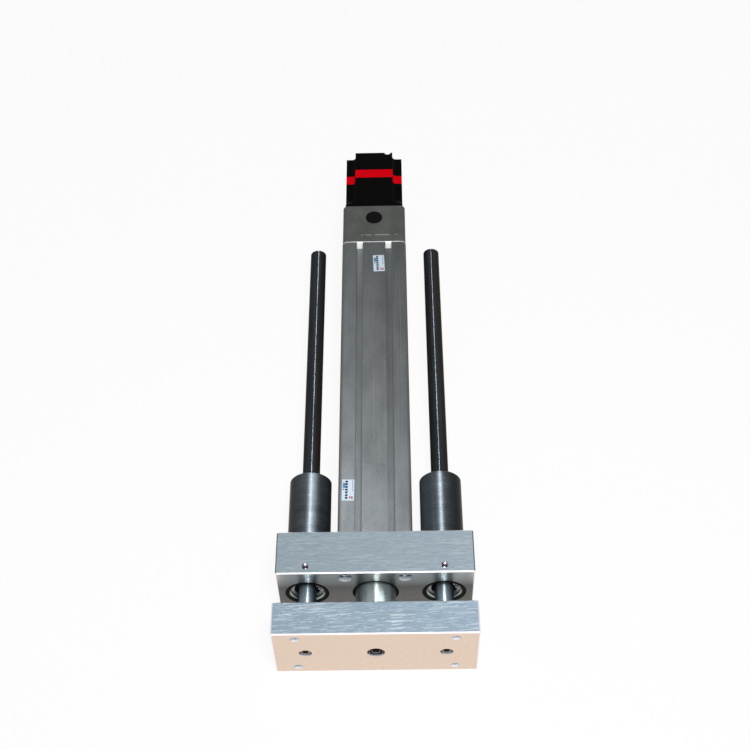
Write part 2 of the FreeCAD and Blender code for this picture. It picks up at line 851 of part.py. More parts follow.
def linear_bearing(side, end):
    """Grooved steel shell and ball cage, at the front or the rear of a sleeve"""
    place = "block_front + bearing_inset"
    cage_front = "seal_inset + seal_thickness"
    if end == "rear":
        place = "sleeve_rear - bearing_inset - bearing_length"
        cage_front = "0"
    shell = new_body(f"bearing_shell_{side}_{end}", x=SIDES[side], y=place)
    outer = "bearing_diameter / 2"
    groove = "bearing_diameter / 2 - shell_groove_depth"
    front_groove = [
        (outer, "shell_groove_inset"),
        (groove, "shell_groove_inset"),
        (groove, "shell_groove_inset + shell_groove_width"),
        (outer, "shell_groove_inset + shell_groove_width"),
    ]
    rear_groove = [(x, f"bearing_length - ({y})") for x, y in reversed(front_groove)]
    faces = [(outer, "bearing_length"), ("bearing_bore / 2", "bearing_length"), ("bearing_bore / 2", "0")]
    add_turning(shell, [(outer, "0")] + front_groove + rear_groove + faces)
    cage = new_body(f"ball_cage_{side}_{end}", x=SIDES[side], y=f"{place} + {cage_front}")
    cage_bore = "guide_rod_diameter + 2 * running_clearance"
    add_turning(cage, ring_points(cage_bore, "bearing_bore - 2 * fit_clearance", "0",
                                  "bearing_length - seal_inset - seal_thickness"))


def bearing_seals():
    """Wiper rings that close the outer end of each linear bearing, set back inside its shell"""
    body = new_body("bearing_seals", x=SIDES["left"], y="block_front + bearing_inset + seal_inset")
    seal_bore = "guide_rod_diameter + 2 * running_clearance"
    seal_outside = "bearing_bore - 2 * fit_clearance"
    seal = add_turning(body, ring_points(seal_bore, seal_outside, "0", "seal_thickness"))
    add_guide_grid(body, [seal], "sleeve_length - 2 * (bearing_inset + seal_inset) - seal_thickness")


def retaining_rings():
    """Split rings with plier lugs, in the grooves at both ends of each sleeve"""
    body = new_body("retaining_rings", x=SIDES["left"], y="block_front + ring_inset")
    outer = "bearing_diameter + 2 * ring_groove_depth"
    hoop = front_sketch(body)
    add_circles(hoop, outer)
    add_circles(hoop, f"{outer} - 2 * ring_breadth")
    lug_centre = "bearing_diameter / 2 - ring_lug / 2"
    lugs = front_sketch(body)
    add_circles(lugs, "ring_lug", [(lug_centre, "ring_lug_spread"), (lug_centre, "-ring_lug_spread")])
    holes = front_sketch(body)
    add_circles(holes, "ring_lug_hole", [(lug_centre, "ring_lug_spread"), (lug_centre, "-ring_lug_spread")])
    gap = front_sketch(body)
    add_outline(gap, [
        ("0", "-ring_gap / 2"),
        ("bearing_diameter", "-ring_gap / 2"),
        ("bearing_diameter", "ring_gap / 2"),
        ("0", "ring_gap / 2"),
    ])
    for sketch in (hoop, lugs, holes, gap):
        bind(sketch, "AttachmentOffset.Rotation.Angle", "ring_turn")
    features = [add_pad(body, hoop, "ring_thickness"), add_pad(body, lugs, "ring_thickness")]
    features.append(add_pocket(body, holes))
    features.append(add_pocket(body, gap))
    add_guide_grid(body, features, "sleeve_length - 2 * ring_inset - ring_thickness")


# Barrel, its front gland and the rings that wipe the piston rod

def barrel():
    body = new_body("barrel", y="block_rear")
    add_square_pad(body, "barrel_size", "barrel_radius", "barrel_length")
    bore = front_sketch(body)
    add_circles(bore, "barrel_bore")
    add_pocket(body, bore)
    ports = front_sketch(body)
    add_circles(ports, tapped("medium_thread"), four_corners("port_spacing", "port_spacing"))
    add_pocket(body, ports)
    slot = front_sketch(body, x="slot_spacing / 2", z="barrel_size / 2")
    add_rectangle(slot, "slot_width", "2 * slot_depth")
    right = add_pocket(body, slot)
    slot = front_sketch(body, x="-slot_spacing / 2", z="barrel_size / 2")
    add_rectangle(slot, "slot_width", "2 * slot_depth")
    left = add_pocket(body, slot)
    add_round_pattern(body, [right, left], 4)


def add_rod_ring(label, y, diameter, length):
    """A rubber ring with a lip on the piston rod, relieved behind the lip"""
    body = new_body(label, y=y)
    lip = "rod_diameter / 2 + running_clearance"
    relief = "gland_lip_bore / 2"
    outer = f"({diameter}) / 2"
    add_turning(body, [
        (lip, "0"),
        (outer, "0"),
        (outer, length),
        (relief, length),
        (relief, f"({length}) / 2"),
        (lip, f"({length}) / 4"),
    ])


def rod_scraper():
    add_rod_ring("rod_scraper", "block_front + scraper_sink", "rod_opening - 2 * fit_clearance",
                 "scraper_length")


def rod_gland():
    body = new_body("rod_gland", y="block_rear")
    outer = "barrel_bore / 2 - fit_clearance"
    wiper_seat = "wiper_diameter / 2 + fit_clearance"
    bush_seat = "bush_diameter / 2 + fit_clearance"
    lip = "gland_lip_bore / 2"
    add_turning(body, [
        (wiper_seat, "0"),
        (outer, "0"),
        (outer, "gland_length"),
        (bush_seat, "gland_length"),
        (bush_seat, "wiper_length + gland_lip"),
        (lip, "wiper_length + gland_lip"),
        (lip, "wiper_length"),
        (wiper_seat, "wiper_length"),
    ])
    rod_bore = "rod_diameter + 2 * running_clearance"
    bush = new_body("rod_bush", y="block_rear + wiper_length + gland_lip")
    add_turning(bush, ring_points(rod_bore, "bush_diameter", "0", "bush_length"))
    add_rod_ring("rod_wiper", "block_rear", "wiper_diameter", "wiper_length")


def bumpers():
    front = new_body("front_bumper", y="gland_rear")
    add_turning(front, ring_points("rod_diameter + 2 * screw_clearance", "bumper_diameter", "0", "bumper"))
    rear = new_body("rear_bumper", y="spigot_front - bumper")
    add_turning(rear, ring_points("screw_diameter + 2 * screw_clearance", "bumper_diameter", "0", "bumper"))


# Ball screw and its bearing housing

def ball_screw():
    body = new_body("ball_screw", y="carrier_stop")
    radius = "screw_diameter / 2"
    shoulder = "screw_bearing_front - carrier_stop"
    journal_end = "locknut_rear - carrier_stop"
    end = "screw_end - carrier_stop"
    add_turning(body, [
        ("0", "0"),
        (f"{radius} - screw_chamfer", "0"),
        (radius, "screw_chamfer"),
        (radius, shoulder),
        ("journal_diameter / 2", shoulder),
        ("journal_diameter / 2", journal_end),
        ("screw_end_diameter / 2", journal_end),
        ("screw_end_diameter / 2", end),
        ("0", end),
    ])


def screw_bearing(label, place):
    """Ball bearing with a shallow groove between its rings on both faces"""
    body = new_body(label, y=place)
    inner = "journal_diameter / 2 + running_clearance"
    outer = "screw_bearing_diameter / 2"
    groove_inner = "journal_diameter / 3 + screw_bearing_diameter / 6"
    groove_outer = "journal_diameter / 6 + screw_bearing_diameter / 3"
    add_bearing_section(body, inner, outer, groove_inner, groove_outer, "screw_bearing_width")


def add_bearing_section(body, inner, outer, groove_inner, groove_outer, width):
    front_half = [
        (inner, "0"),
        (groove_inner, "0"),
        (groove_inner, "bearing_face_groove"),
        (groove_outer, "bearing_face_groove"),
        (groove_outer, "0"),
        (outer, "0"),
    ]
    rear_half = [(x, f"{width} - ({y})") for x, y in reversed(front_half)]
    add_turning(body, front_half + rear_half)


def bearing_locknut():
    body = new_body("bearing_locknut", y="barrel_rear")
    add_turning(body, ring_points("journal_diameter + 2 * thread_clearance", "locknut_diameter", "0",
                                  "locknut_length"))
    sketch = front_sketch(body, z="locknut_diameter / 2")
    add_rectangle(sketch, "locknut_slot", "2 * locknut_slot_depth")
    slot = add_pocket(body, sketch)
    add_round_pattern(body, [slot], 4)


def bearing_retainer():
    """Threaded ring behind the screw bearings, with two holes for a pin spanner"""
    body = new_body("bearing_retainer", y="barrel_rear")
    add_turning(body, ring_points("retainer_bore", "retainer_diameter", "0", "retainer_thickness"))
    sketch = front_sketch(body)
    middle = "(retainer_bore + retainer_diameter) / 4"
    add_circles(sketch, "retainer_pin_hole", [(middle, "0"), (f"-{middle}", "0")])
    add_pocket(body, sketch)


def bearing_housing():
    body = new_body("bearing_housing", y="spigot_front")
    flange = add_square_pad(body, "housing_size", "housing_radius", "housing_flange", y="spigot_length")
    front = flange.Shape.BoundBox.YMin
    add_chamfer(body, flange, "housing_chamfer", lambda edge: edge.BoundBox.YMax < front + TOUCH)
    spigot = front_sketch(body)
    add_circles(spigot, "barrel_bore - 2 * fit_clearance")
    add_pad(body, spigot, "spigot_length")
    passage = "screw_diameter / 2 + screw_clearance"
    seat = "screw_bearing_diameter / 2 + fit_clearance"
    recess = "retainer_diameter / 2 + thread_clearance"
    add_bore(body, [
        ("0", "0"),
        (passage, "0"),
        (passage, "housing_wall"),
        (seat, "housing_wall"),
        (seat, "spigot_length"),
        (recess, "spigot_length"),
        (recess, "housing_length"),
        ("0", "housing_length"),
    ])
    screws = front_sketch(body, y="housing_length")
    add_circles(screws, "medium_thread", four_corners("port_spacing", "port_spacing"))
    add_holes(body, screws, cleared("medium_thread"), depth="housing_flange", forwards=True,
              head="medium_counterbore", head_depth="medium_counterbore_depth")
    taps = front_sketch(body, y="housing_length")
    add_circles(taps, "small_thread", on_circle("lip_screw_circle"))
    add_holes(body, taps, tapped("small_thread"), depth="lip_screw_grip + tap_runout", forwards=True)


def housing_screws():
    four_screws("housing_screws", "medium", "housing_screw_length", "port_spacing",
                "housing_rear - head_sink", head_behind=True)


# Coupling housing and jaw coupling

def coupling_housing():
    body = new_body("coupling_housing", y="housing_rear")
    add_square_pad(body, "housing_size", "housing_radius", "coupling_housing_length")
    add_bore(body, [
        ("0", "0"),
        ("retainer_diameter / 2", "0"),
        ("retainer_diameter / 2", "lip_thickness"),
        ("coupling_bore / 2", "lip_thickness"),
        ("coupling_bore / 2", "coupling_housing_length - pilot_height"),
        ("pilot_diameter / 2 + fit_clearance", "coupling_housing_length - pilot_height"),
        ("pilot_diameter / 2 + fit_clearance", "coupling_housing_length"),
        ("0", "coupling_housing_length"),
    ])
    lip = front_sketch(body)
    add_circles(lip, cleared("small_thread"), on_circle("lip_screw_circle"))
    add_pocket(body, lip, "lip_thickness")
    taps = front_sketch(body, y="coupling_housing_length")
    add_circles(taps, "flange_thread", four_corners("motor_screw_spacing", "motor_screw_spacing"))
    add_holes(body, taps, tapped("flange_thread"), depth="motor_screw_grip + tap_runout", forwards=True)
    access = new_sketch(body, "XY_Plane", y="jaws_rear + clamp_setback - housing_rear",
                        z="housing_size / 2")
    add_circles(access, "plug_hole + 2 * fit_clearance")
    add_holes(body, access, "plug_hole + 2 * fit_clearance", depth="housing_size / 2")
    four_screws("coupling_housing_screws", "small", "lip_screw_length", "lip_screw_circle / sqrt(2)",
                "housing_rear + lip_thickness + small_head_height", head_behind=True)


def access_plug():
    """Rubber plug over the coupling's clamp screw"""
    body = new_body("access_plug", y="jaws_rear + clamp_setback", z="axis_height + housing_size / 2")
    edge = "plug_flange_height / 2"
    add_upright_turning(body, [
        ("0", "-plug_length"),
        ("plug_hole / 2", "-plug_length"),
        ("plug_hole / 2", "0"),
        ("plug_flange / 2", "0"),
        ("plug_flange / 2", edge),
        (f"plug_flange / 2 - {edge}", "plug_flange_height"),
        ("0", "plug_flange_height"),
    ])


def coupling_hub(label, place, shaft, jaws_behind):
    """Hub with three jaws that reach between the spider's legs"""
    body = new_body(label, y=place)
    add_turning(body, ring_points(f"{shaft} + 2 * fit_clearance", "hub_diameter", "0", "hub_length"))
    jaw_start = "hub_length" if jaws_behind else "jaw_end_gap - jaw_length"
    sketch = front_sketch(body, y=jaw_start)
    add_circles(sketch, "hub_diameter")
    add_circles(sketch, "jaw_root")
    add_pad(body, sketch, "jaw_length - jaw_end_gap")
    side = "-" if jaws_behind else ""
    half_gap = "hub_diameter * tan(60 - jaw_angle / 2)"
    wedge = front_sketch(body, y=jaw_start)
    add_outline(wedge, [
        ("0", "0"),
        (f"{side}hub_diameter", f"-{half_gap}"),
        (f"{side}hub_diameter", half_gap),
    ])
    gap = add_pocket(body, wedge, "jaw_length - jaw_end_gap")
    add_round_pattern(body, [gap], 3)
    clamp = new_sketch(body, "XY_Plane", y="clamp_setback", z="hub_diameter / 2")
    add_circles(clamp, "clamp_thread")
    add_holes(body, clamp, tapped("clamp_thread"), depth="hub_diameter / 2")


def jaw_coupling():
    coupling_hub("screw_coupling_hub", "screw_hub_front", "screw_end_diameter", True)
    coupling_hub("motor_coupling_hub", "jaws_rear", "motor_shaft_diameter", False)
    spider = new_body("coupling_spider", y="screw_end + jaw_end_gap")
    sketch = front_sketch(spider)
    add_circles(sketch, "spider_diameter")
    add_circles(sketch, "spider_bore")
    add_pad(spider, sketch, "jaw_length - 2 * jaw_end_gap")
    wedge = front_sketch(spider)
    root = "(jaw_root / 2 - spider_root_gap)"
    reach = "spider_diameter"
    slope = "tan(jaw_angle / 2 + jaw_side_angle)"
    add_outline(wedge, [
        (root, f"-{root} * {slope}"),
        (reach, f"-{reach} * {slope}"),
        (reach, f"{reach} * {slope}"),
        (root, f"{root} * {slope}"),
    ])
    gap = add_pocket(spider, wedge)
    add_round_pattern(spider, [gap], 6)


def clamp_screws():
    """Headless screws that hold the two hubs on their shafts"""
    body = new_body("coupling_clamp_screws", z="axis_height + screw_end_diameter / 2")
    points = ring_points("0", "clamp_thread", "0", "clamp_length")
    add_upright_turning(body, points, y="screw_hub_front + clamp_setback")
    add_upright_turning(body, points, y="jaws_rear + clamp_setback")


# Motor

def add_motor_section(body, length, y="0"):
    """A bar of the motor's notched square section"""
    half = "motor_size / 2"
    inner = "motor_size / 2 - motor_notch"
    quarter = [(half, inner), (inner, inner), (inner, half)]
    mirrored = [(f"-({x})", z) for x, z in reversed(quarter)]
    upper = quarter + mirrored
    lower = [(x, f"-({z})") for x, z in reversed(upper)]
    sketch = front_sketch(body, y=y)
    add_outline(sketch, upper + lower)
    pad = add_pad(body, sketch, length)
    side = pad.Shape.BoundBox.XMax

    def in_notch(edge):
        middle = edge.BoundBox.Center
        return runs_along(edge) and max(abs(middle.x), abs(middle.z)) < side - TOUCH

    return add_fillet(body, pad, "motor_notch_radius", in_notch)


def motor_front():
    """Square flange with its pilot, and the front of the notched body behind it"""
    body = new_body("motor_flange", y="motor_front")
    add_motor_section(body, "motor_bell", y="motor_flange")
    sketch = front_sketch(body)
    add_rectangle(sketch, "motor_size", "motor_size")
    pad = add_pad(body, sketch, "motor_flange")
    side = pad.Shape.BoundBox.XMax

    def at_corner(edge):
        middle = edge.BoundBox.Center
        return runs_along(edge) and min(abs(middle.x), abs(middle.z)) > side - TOUCH

    add_fillet(body, pad, "motor_radius", at_corner)
    pilot = front_sketch(body, y="-pilot_height")
    add_circles(pilot, "pilot_diameter")
    add_pad(body, pilot, "pilot_height")
    seat = "motor_bearing_diameter / 2 + fit_clearance"
    passage = "motor_shaft_diameter / 2 + screw_clearance"
    depth = "motor_flange + motor_bell"
    add_bore(body, [
        ("0", "-pilot_height"),
        (passage, "-pilot_height"),
        (passage, f"{depth} - motor_bearing_width"),
        (seat, f"{depth} - motor_bearing_width"),
        (seat, depth),
        ("0", depth),
    ])
    screws = front_sketch(body)
    add_circles(screws, "flange_thread", four_corners("motor_screw_spacing", "motor_screw_spacing"))
    add_holes(body, screws, cleared("flange_thread"), depth="motor_flange")


def motor_stator():
    body = new_body("motor_stator", y="bell_rear")
    add_motor_section(body, "stator_length")
    bore = front_sketch(body)
    add_circles(bore, "stator_bore")
    add_pocket(body, bore)
    bolts = front_sketch(body)
    add_circles(bolts, tapped("fine_thread"), four_corners("cover_screw_spacing", "cover_screw_spacing"))
    add_pocket(body, bolts)


def motor_rear_shield():
    """Painted rear bearing shield, between the stator and the cover"""
    body = new_body("motor_rear_shield", y="stator_rear")
    add_motor_section(body, "shield_length")
    seat = "motor_bearing_diameter / 2 + fit_clearance"
    passage = "motor_shaft_diameter / 2 + screw_clearance"
    add_bore(body, [
        ("0", "0"),
        (seat, "0"),
        (seat, "motor_bearing_width"),
        (passage, "motor_bearing_width"),
        (passage, "shield_length"),
        ("0", "shield_length"),
    ])
    bolts = front_sketch(body)
    add_circles(bolts, cleared("fine_thread"), four_corners("cover_screw_spacing", "cover_screw_spacing"))
    add_pocket(body, bolts)


def motor_rear_cover():
    body = new_body("motor_rear_cover", y="shield_rear")
    section = add_motor_section(body, "cover_length")
    rear = section.Shape.BoundBox.YMax
    add_chamfer(body, section, "cover_chamfer", lambda edge: edge.BoundBox.YMin > rear - TOUCH)
    hollow = front_sketch(body)
    add_circles(hollow, "cover_bore")
    add_pocket(body, hollow, "cover_length - cover_wall")
    inlet = front_sketch(body, y="cover_length", z="-grommet_drop")
    add_circles(inlet, "grommet_diameter + 2 * fit_clearance")
    add_pocket(body, inlet, "cover_wall", forwards=True)
    scoop = front_sketch(body, y="cover_length", x="cover_scoop_across", z="motor_size / 2")
    add_circles(scoop, "cover_scoop")
    add_pocket(body, scoop, "cover_scoop_depth", forwards=True)
    bolts = front_sketch(body, y="cover_length")
    add_circles(bolts, "fine_thread", four_corners("cover_screw_spacing", "cover_screw_spacing"))
    add_holes(body, bolts, cleared("fine_thread"), forwards=True,
              head="fine_counterbore", head_depth="cover_counterbore_depth")
    four_screws("motor_cover_screws", "fine", "cover_screw_length", "cover_screw_spacing",
                "cover_rear - head_sink", head_behind=True)


def cable_grommet():
    """Rubber ring in the cover's cable inlet"""
    body = new_body("cable_grommet", y="cover_rear", z="axis_height - grommet_drop")
    add_turning(body, [
        ("grommet_bore / 2", "-cover_wall"),
        ("grommet_diameter / 2", "-cover_wall"),
        ("grommet_diameter / 2", "0"),
        ("grommet_diameter / 2 + grommet_lip", "0"),
        ("grommet_diameter / 2 + grommet_lip / 2", "grommet_lip_height"),
        ("grommet_bore / 2", "grommet_lip_height"),
    ])


def motor_screws():
    four_screws("motor_screws", "flange", "motor_screw_length", "motor_screw_spacing",
                "flange_rear + flange_head_height", head_behind=True)


def motor_rotor():
    shaft = new_body("motor_shaft", y="motor_shaft_front")
    length = "shield_rear + motor_shaft_tail - motor_shaft_front"
    add_turning(shaft, ring_points("0", "motor_shaft_diameter", "0", length))
    rotor = new_body("motor_rotor", y="bell_rear + rotor_gap")
    add_turning(rotor, ring_points("motor_shaft_diameter + 2 * fit_clearance", "rotor_diameter", "0",
                                   "stator_length - 2 * rotor_gap"))
    encoder = new_body("encoder_disc", y="shield_rear + rotor_gap")
    inner = "motor_shaft_diameter / 2 + fit_clearance"
    add_turning(encoder, [
        (inner, "0"),
        ("encoder_hub / 2", "0"),
        ("encoder_hub / 2", "encoder_hub_length - encoder_thickness"),
        ("encoder_diameter / 2", "encoder_hub_length - encoder_thickness"),
        ("encoder_diameter / 2", "encoder_hub_length"),
        (inner, "encoder_hub_length"),
    ])


def motor_bearing(label, place):
    body = new_body(label, y=place)
    inner = "motor_shaft_diameter / 2 + running_clearance"
    outer = "motor_bearing_diameter / 2"
    groove_inner = "motor_shaft_diameter / 3 + motor_bearing_diameter / 6"
    groove_outer = "motor_shaft_diameter / 6 + motor_bearing_diameter / 3"
    add_bearing_section(body, inner, outer, groove_inner, groove_outer, "motor_bearing_width")


def check_model():
    """Stop if any object failed or any sub-part is not a valid closed solid"""
    for thing in doc.Objects:
        if "Invalid" in thing.State or "Error" in thing.State:
            raise ValueError(f"{thing.Name} failed: {thing.State}")
    for part in sub_parts:
        if part.Shape.isNull() or not part.Shape.isValid() or not part.Shape.Solids:
            raise ValueError(f"{part.Label} has no valid solid")


def main():
    front_plate()
    plate_screws()
    piston_rod()
    nut_carrier()
    ball_nut()
    guide_block()
    block_screws()
    set_screws()
    for side in SIDES:
        guide_rod(side)
        bearing_sleeve(side)
        linear_bearing(side, "front")
        linear_bearing(side, "rear")
    bearing_seals()
    retaining_rings()
    barrel()
    rod_scraper()
    rod_gland()
    bumpers()
    ball_screw()
    screw_bearing("screw_bearing_front", "screw_bearing_front")
    screw_bearing("screw_bearing_rear", "screw_bearing_front + screw_bearing_width")
    bearing_locknut()
    bearing_retainer()
    bearing_housing()
    housing_screws()
    coupling_housing()
    access_plug()
    jaw_coupling()
    clamp_screws()
    motor_front()
    motor_stator()
    motor_rear_shield()
    motor_rear_cover()
    cable_grommet()
    motor_screws()
    motor_rotor()
    motor_bearing("motor_bearing_front", "bell_rear - motor_bearing_width")
    motor_bearing("motor_bearing_rear", "stator_rear")
    doc.recompute()
    check_model()
    os.makedirs("parts", exist_ok=True)
    for part in sub_parts:
        part.Shape.exportStep(f"parts/{part.Label}.step")


main()
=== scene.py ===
import json
import math

import bmesh
import bpy
from mathutils import Matrix, Vector


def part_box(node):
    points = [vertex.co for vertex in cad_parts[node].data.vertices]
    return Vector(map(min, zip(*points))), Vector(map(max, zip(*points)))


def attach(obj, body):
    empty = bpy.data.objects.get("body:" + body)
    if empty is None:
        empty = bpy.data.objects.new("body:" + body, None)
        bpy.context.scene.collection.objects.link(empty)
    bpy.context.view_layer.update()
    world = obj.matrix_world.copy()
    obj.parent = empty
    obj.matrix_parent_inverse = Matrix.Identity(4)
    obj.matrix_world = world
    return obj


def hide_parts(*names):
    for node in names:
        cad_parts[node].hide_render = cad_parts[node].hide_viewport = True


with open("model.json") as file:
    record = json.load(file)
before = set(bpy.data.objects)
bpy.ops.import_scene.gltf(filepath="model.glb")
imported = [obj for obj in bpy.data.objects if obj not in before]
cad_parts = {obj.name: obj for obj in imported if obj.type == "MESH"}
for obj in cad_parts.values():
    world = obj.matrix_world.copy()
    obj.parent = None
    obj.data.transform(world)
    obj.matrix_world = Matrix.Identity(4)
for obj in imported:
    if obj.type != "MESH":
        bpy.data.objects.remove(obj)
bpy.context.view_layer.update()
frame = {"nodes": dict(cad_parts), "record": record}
nodes = frame["nodes"]
scene = bpy.context.scene
MM = 0.001

# The piston rod's axis over the floor, in the middle of the guide block
AXIS_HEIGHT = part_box("guide_block")[1].z / 2

# Camera at the photograph's viewing angle: metres and degrees, and millimetres for lens and sensor
CAMERA_PLACE = (0.01955, -0.5653, 1.02993)
CAMERA_YAW = -1.44
CAMERA_PITCH = -51.82
CAMERA_ROLL = -2.01
CAMERA_LENS = 62.4
SENSOR_WIDTH = 36.0
CAMERA_CLIP = (0.01, 50)

# Grains per metre along an axis on which a pattern stays even
NO_GRAIN = 1e-4
# Limits between which most values of a noise lie, for a soft change and for a firmer one
SOFT = (0.3, 0.7)
FIRM = (0.35, 0.65)


def linear(red, green, blue):
    """A colour of 0 to 255 steps as the linear values that a shader takes"""
    def channel(step):
        share = step / 255
        return share / 12.92 if share <= 0.04045 else ((share + 0.055) / 1.055) ** 2.4
    return (channel(red), channel(green), channel(blue), 1.0)


class Shader:
    """A node material with one Principled shader, and short calls for the nodes that feed it"""

    def __init__(self, name, roughness=0.5, metallic=0.0, specular=0.5, edge=1.0):
        """The edge value is the strength of reflections at a glancing angle"""
        self.material = bpy.data.materials.new(name)
        self.material.use_nodes = True
        self.tree = self.material.node_tree
        self.surface = self.tree.nodes["Principled BSDF"]
        self.surface.inputs["Roughness"].default_value = roughness
        self.surface.inputs["Metallic"].default_value = metallic
        self.surface.inputs["Specular IOR Level"].default_value = specular
        self.surface.inputs["Specular Tint"].default_value = (edge, edge, edge, 1.0)
        self.place = self.add("ShaderNodeTexCoord")

    def add(self, kind, **settings):
        node = self.tree.nodes.new(kind)
        for key, value in settings.items():
            setattr(node, key, value)
        return node

    def feed(self, socket, source):
        self.tree.links.new(source, self.surface.inputs[socket])

    def put(self, socket, value):
        """A plain value or a link on an input"""
        if isinstance(value, bpy.types.NodeSocket):
            self.tree.links.new(value, socket)
        else:
            socket.default_value = value

    def noise(self, grains, detail=2.0, turn=(0, 0, 0), rough=0.5):
        """Noise in object coordinates, with its own count of grains per metre along each turned axis"""
        mapping = self.add("ShaderNodeMapping", vector_type="TEXTURE")
        mapping.inputs["Scale"].default_value = [1 / max(count, NO_GRAIN) for count in grains]
        mapping.inputs["Rotation"].default_value = [math.radians(angle) for angle in turn]
        self.put(mapping.inputs["Vector"], self.place.outputs["Object"])
        noise = self.add("ShaderNodeTexNoise")
        noise.inputs["Scale"].default_value = 1.0
        noise.inputs["Detail"].default_value = detail
        noise.inputs["Roughness"].default_value = rough
        self.put(noise.inputs["Vector"], mapping.outputs["Vector"])
        return noise.outputs["Fac"]

    def math(self, operation, first, second=0.0):
        node = self.add("ShaderNodeMath", operation=operation)
        self.put(node.inputs[0], first)
        self.put(node.inputs[1], second)
        return node.outputs[0]

    def times(self, first, second):
        return self.math("MULTIPLY", first, second)

    def weigh(self, *parts):
        """The sum of values, each times its weight"""
        total = None
        for value, weight in parts:
            part = self.times(value, weight)
            total = part if total is None else self.math("ADD", total, part)
        return total

    def ramp(self, value, low, high, start=0.0, end=1.0):
        """A straight change from one value to another between two limits"""
        node = self.add("ShaderNodeMapRange")
        self.put(node.inputs["Value"], value)
        node.inputs["From Min"].default_value = low
        node.inputs["From Max"].default_value = high
        node.inputs["To Min"].default_value = start
        node.inputs["To Max"].default_value = end
        return node.outputs["Result"]

    def axis(self, output, name):
        """One axis of the object coordinates or of the surface's own direction"""
        node = self.add("ShaderNodeSeparateXYZ")
        self.put(node.inputs[0], self.place.outputs[output])
        return node.outputs[name]

    def ahead(self):
        """How far the surface is turned to the object's front"""
        return self.times(self.axis("Normal", "Y"), -1.0)

    def size_of(self, value):
        return self.math("ABSOLUTE", value)

    def blend(self, share, first, second, mode="MIX"):
        """A colour between two others"""
        node = self.add("ShaderNodeMix", data_type="RGBA", blend_type=mode)
        self.put(node.inputs[0], share)
        self.put(node.inputs[6], first)
        self.put(node.inputs[7], second)
        return node.outputs[2]

    def tint(self, colour, share, first, second):
        """A colour times a factor for red, green and blue that lies between two others"""
        factor = self.blend(share, (*first, 1), (*second, 1))
        return self.blend(1.0, colour, factor, "MULTIPLY")

    def ground_round(self, share):
        """Marks that run round the object's own Y axis and stretch its highlights along that axis"""
        tangent = self.add("ShaderNodeTangent", direction_type="RADIAL", axis="Y")
        self.feed("Tangent", tangent.outputs["Tangent"])
        self.surface.inputs["Anisotropic"].default_value = share
        self.surface.inputs["Anisotropic Rotation"].default_value = 0.25

    def bump(self, height, strength, distance):
        node = self.add("ShaderNodeBump")
        node.inputs["Strength"].default_value = strength
        node.inputs["Distance"].default_value = distance
        self.put(node.inputs["Height"], height)
        self.feed("Normal", node.outputs["Normal"])


# Scores on a brushed face: turn in degrees, waves per metre along, rows per metre across, and strength
PLATE_SCORES = [(3, 30, 1050, 0.8), (5, 36, 950, 0.8), (4, 130, 1500, 0.6), (2, 70, 1700, 0.5),
                (6, 80, 1600, 0.5)]
BLOCK_SCORES = [(0, 24, 1200, 0.7), (0.5, 50, 1900, 0.7), (0, 80, 2100, 0.6), (4, 120, 1500, 0.7)]
# How high the noise along a row must rise for a stroke to start, and for it to be full
SCORE_LIMITS = (0.62, 0.65)
# How far from the middle of its row a stroke is full, and where it ends, in shares of the row
STROKE_REACH = (0.12, 0.32)
# How far apart two rows lie in the noise, so that they differ
ROW_STEP = 7.31


def scores(s, lines):
    """Straight strokes in rows, each kind at its own slant"""
    total = None
    for turn, along, across, strength in lines:
        mapping = s.add("ShaderNodeMapping", vector_type="TEXTURE")
        mapping.inputs["Scale"].default_value = (1 / along, 1 / across, 1.0)
        mapping.inputs["Rotation"].default_value = (0, 0, math.radians(turn))
        s.put(mapping.inputs["Vector"], s.place.outputs["Object"])
        parts = s.add("ShaderNodeSeparateXYZ")
        s.put(parts.inputs[0], mapping.outputs["Vector"])
        row = s.math("FLOOR", parts.outputs["Y"])
        spot = s.add("ShaderNodeCombineXYZ")
        s.put(spot.inputs["X"], parts.outputs["X"])
        s.put(spot.inputs["Y"], s.times(row, ROW_STEP))
        noise = s.add("ShaderNodeTexNoise")
        noise.inputs["Scale"].default_value = 1.0
        noise.inputs["Detail"].default_value = 1.0
        s.put(noise.inputs["Vector"], spot.outputs["Vector"])
        from_middle = s.size_of(s.math("SUBTRACT", s.math("SUBTRACT", parts.outputs["Y"], row), 0.5))
        stroke = s.times(s.ramp(noise.outputs["Fac"], *SCORE_LIMITS),
                         s.ramp(from_middle, *STROKE_REACH, strength, 0.0))
        total = stroke if total is None else s.math("MAXIMUM", total, stroke)
    return total


# Plate stock: a painted shade, its tone darker on the left and lighter on the right, as factors
STOCK_SHADE_LEAN = ((0.94, 0.94, 0.94), (1.09, 1.09, 1.10))
# Heights between which its front turns to the lighter tone of its painted reflection, and over which no
# hole walls lie
FRONT_REFLECTION_TURN = (44 * MM, 64 * MM)
WALL_TOP = (66 * MM, 67 * MM)
# How far inside a rim its edges start, and how evenly an edge must face two ways
EDGE_REACH = (2 * MM, 1 * MM)
EDGE_LIMITS = (0.30, 0.44)
# Painted glint on the edges near the rims
EDGE_GLINT_COLOUR = linear(250, 244, 250)
# Painted highlight for the lower walls of holes in the front
WALL_GLINT_COLOUR = linear(248, 251, 254)
FRONT_ROUGHNESS = 0.30


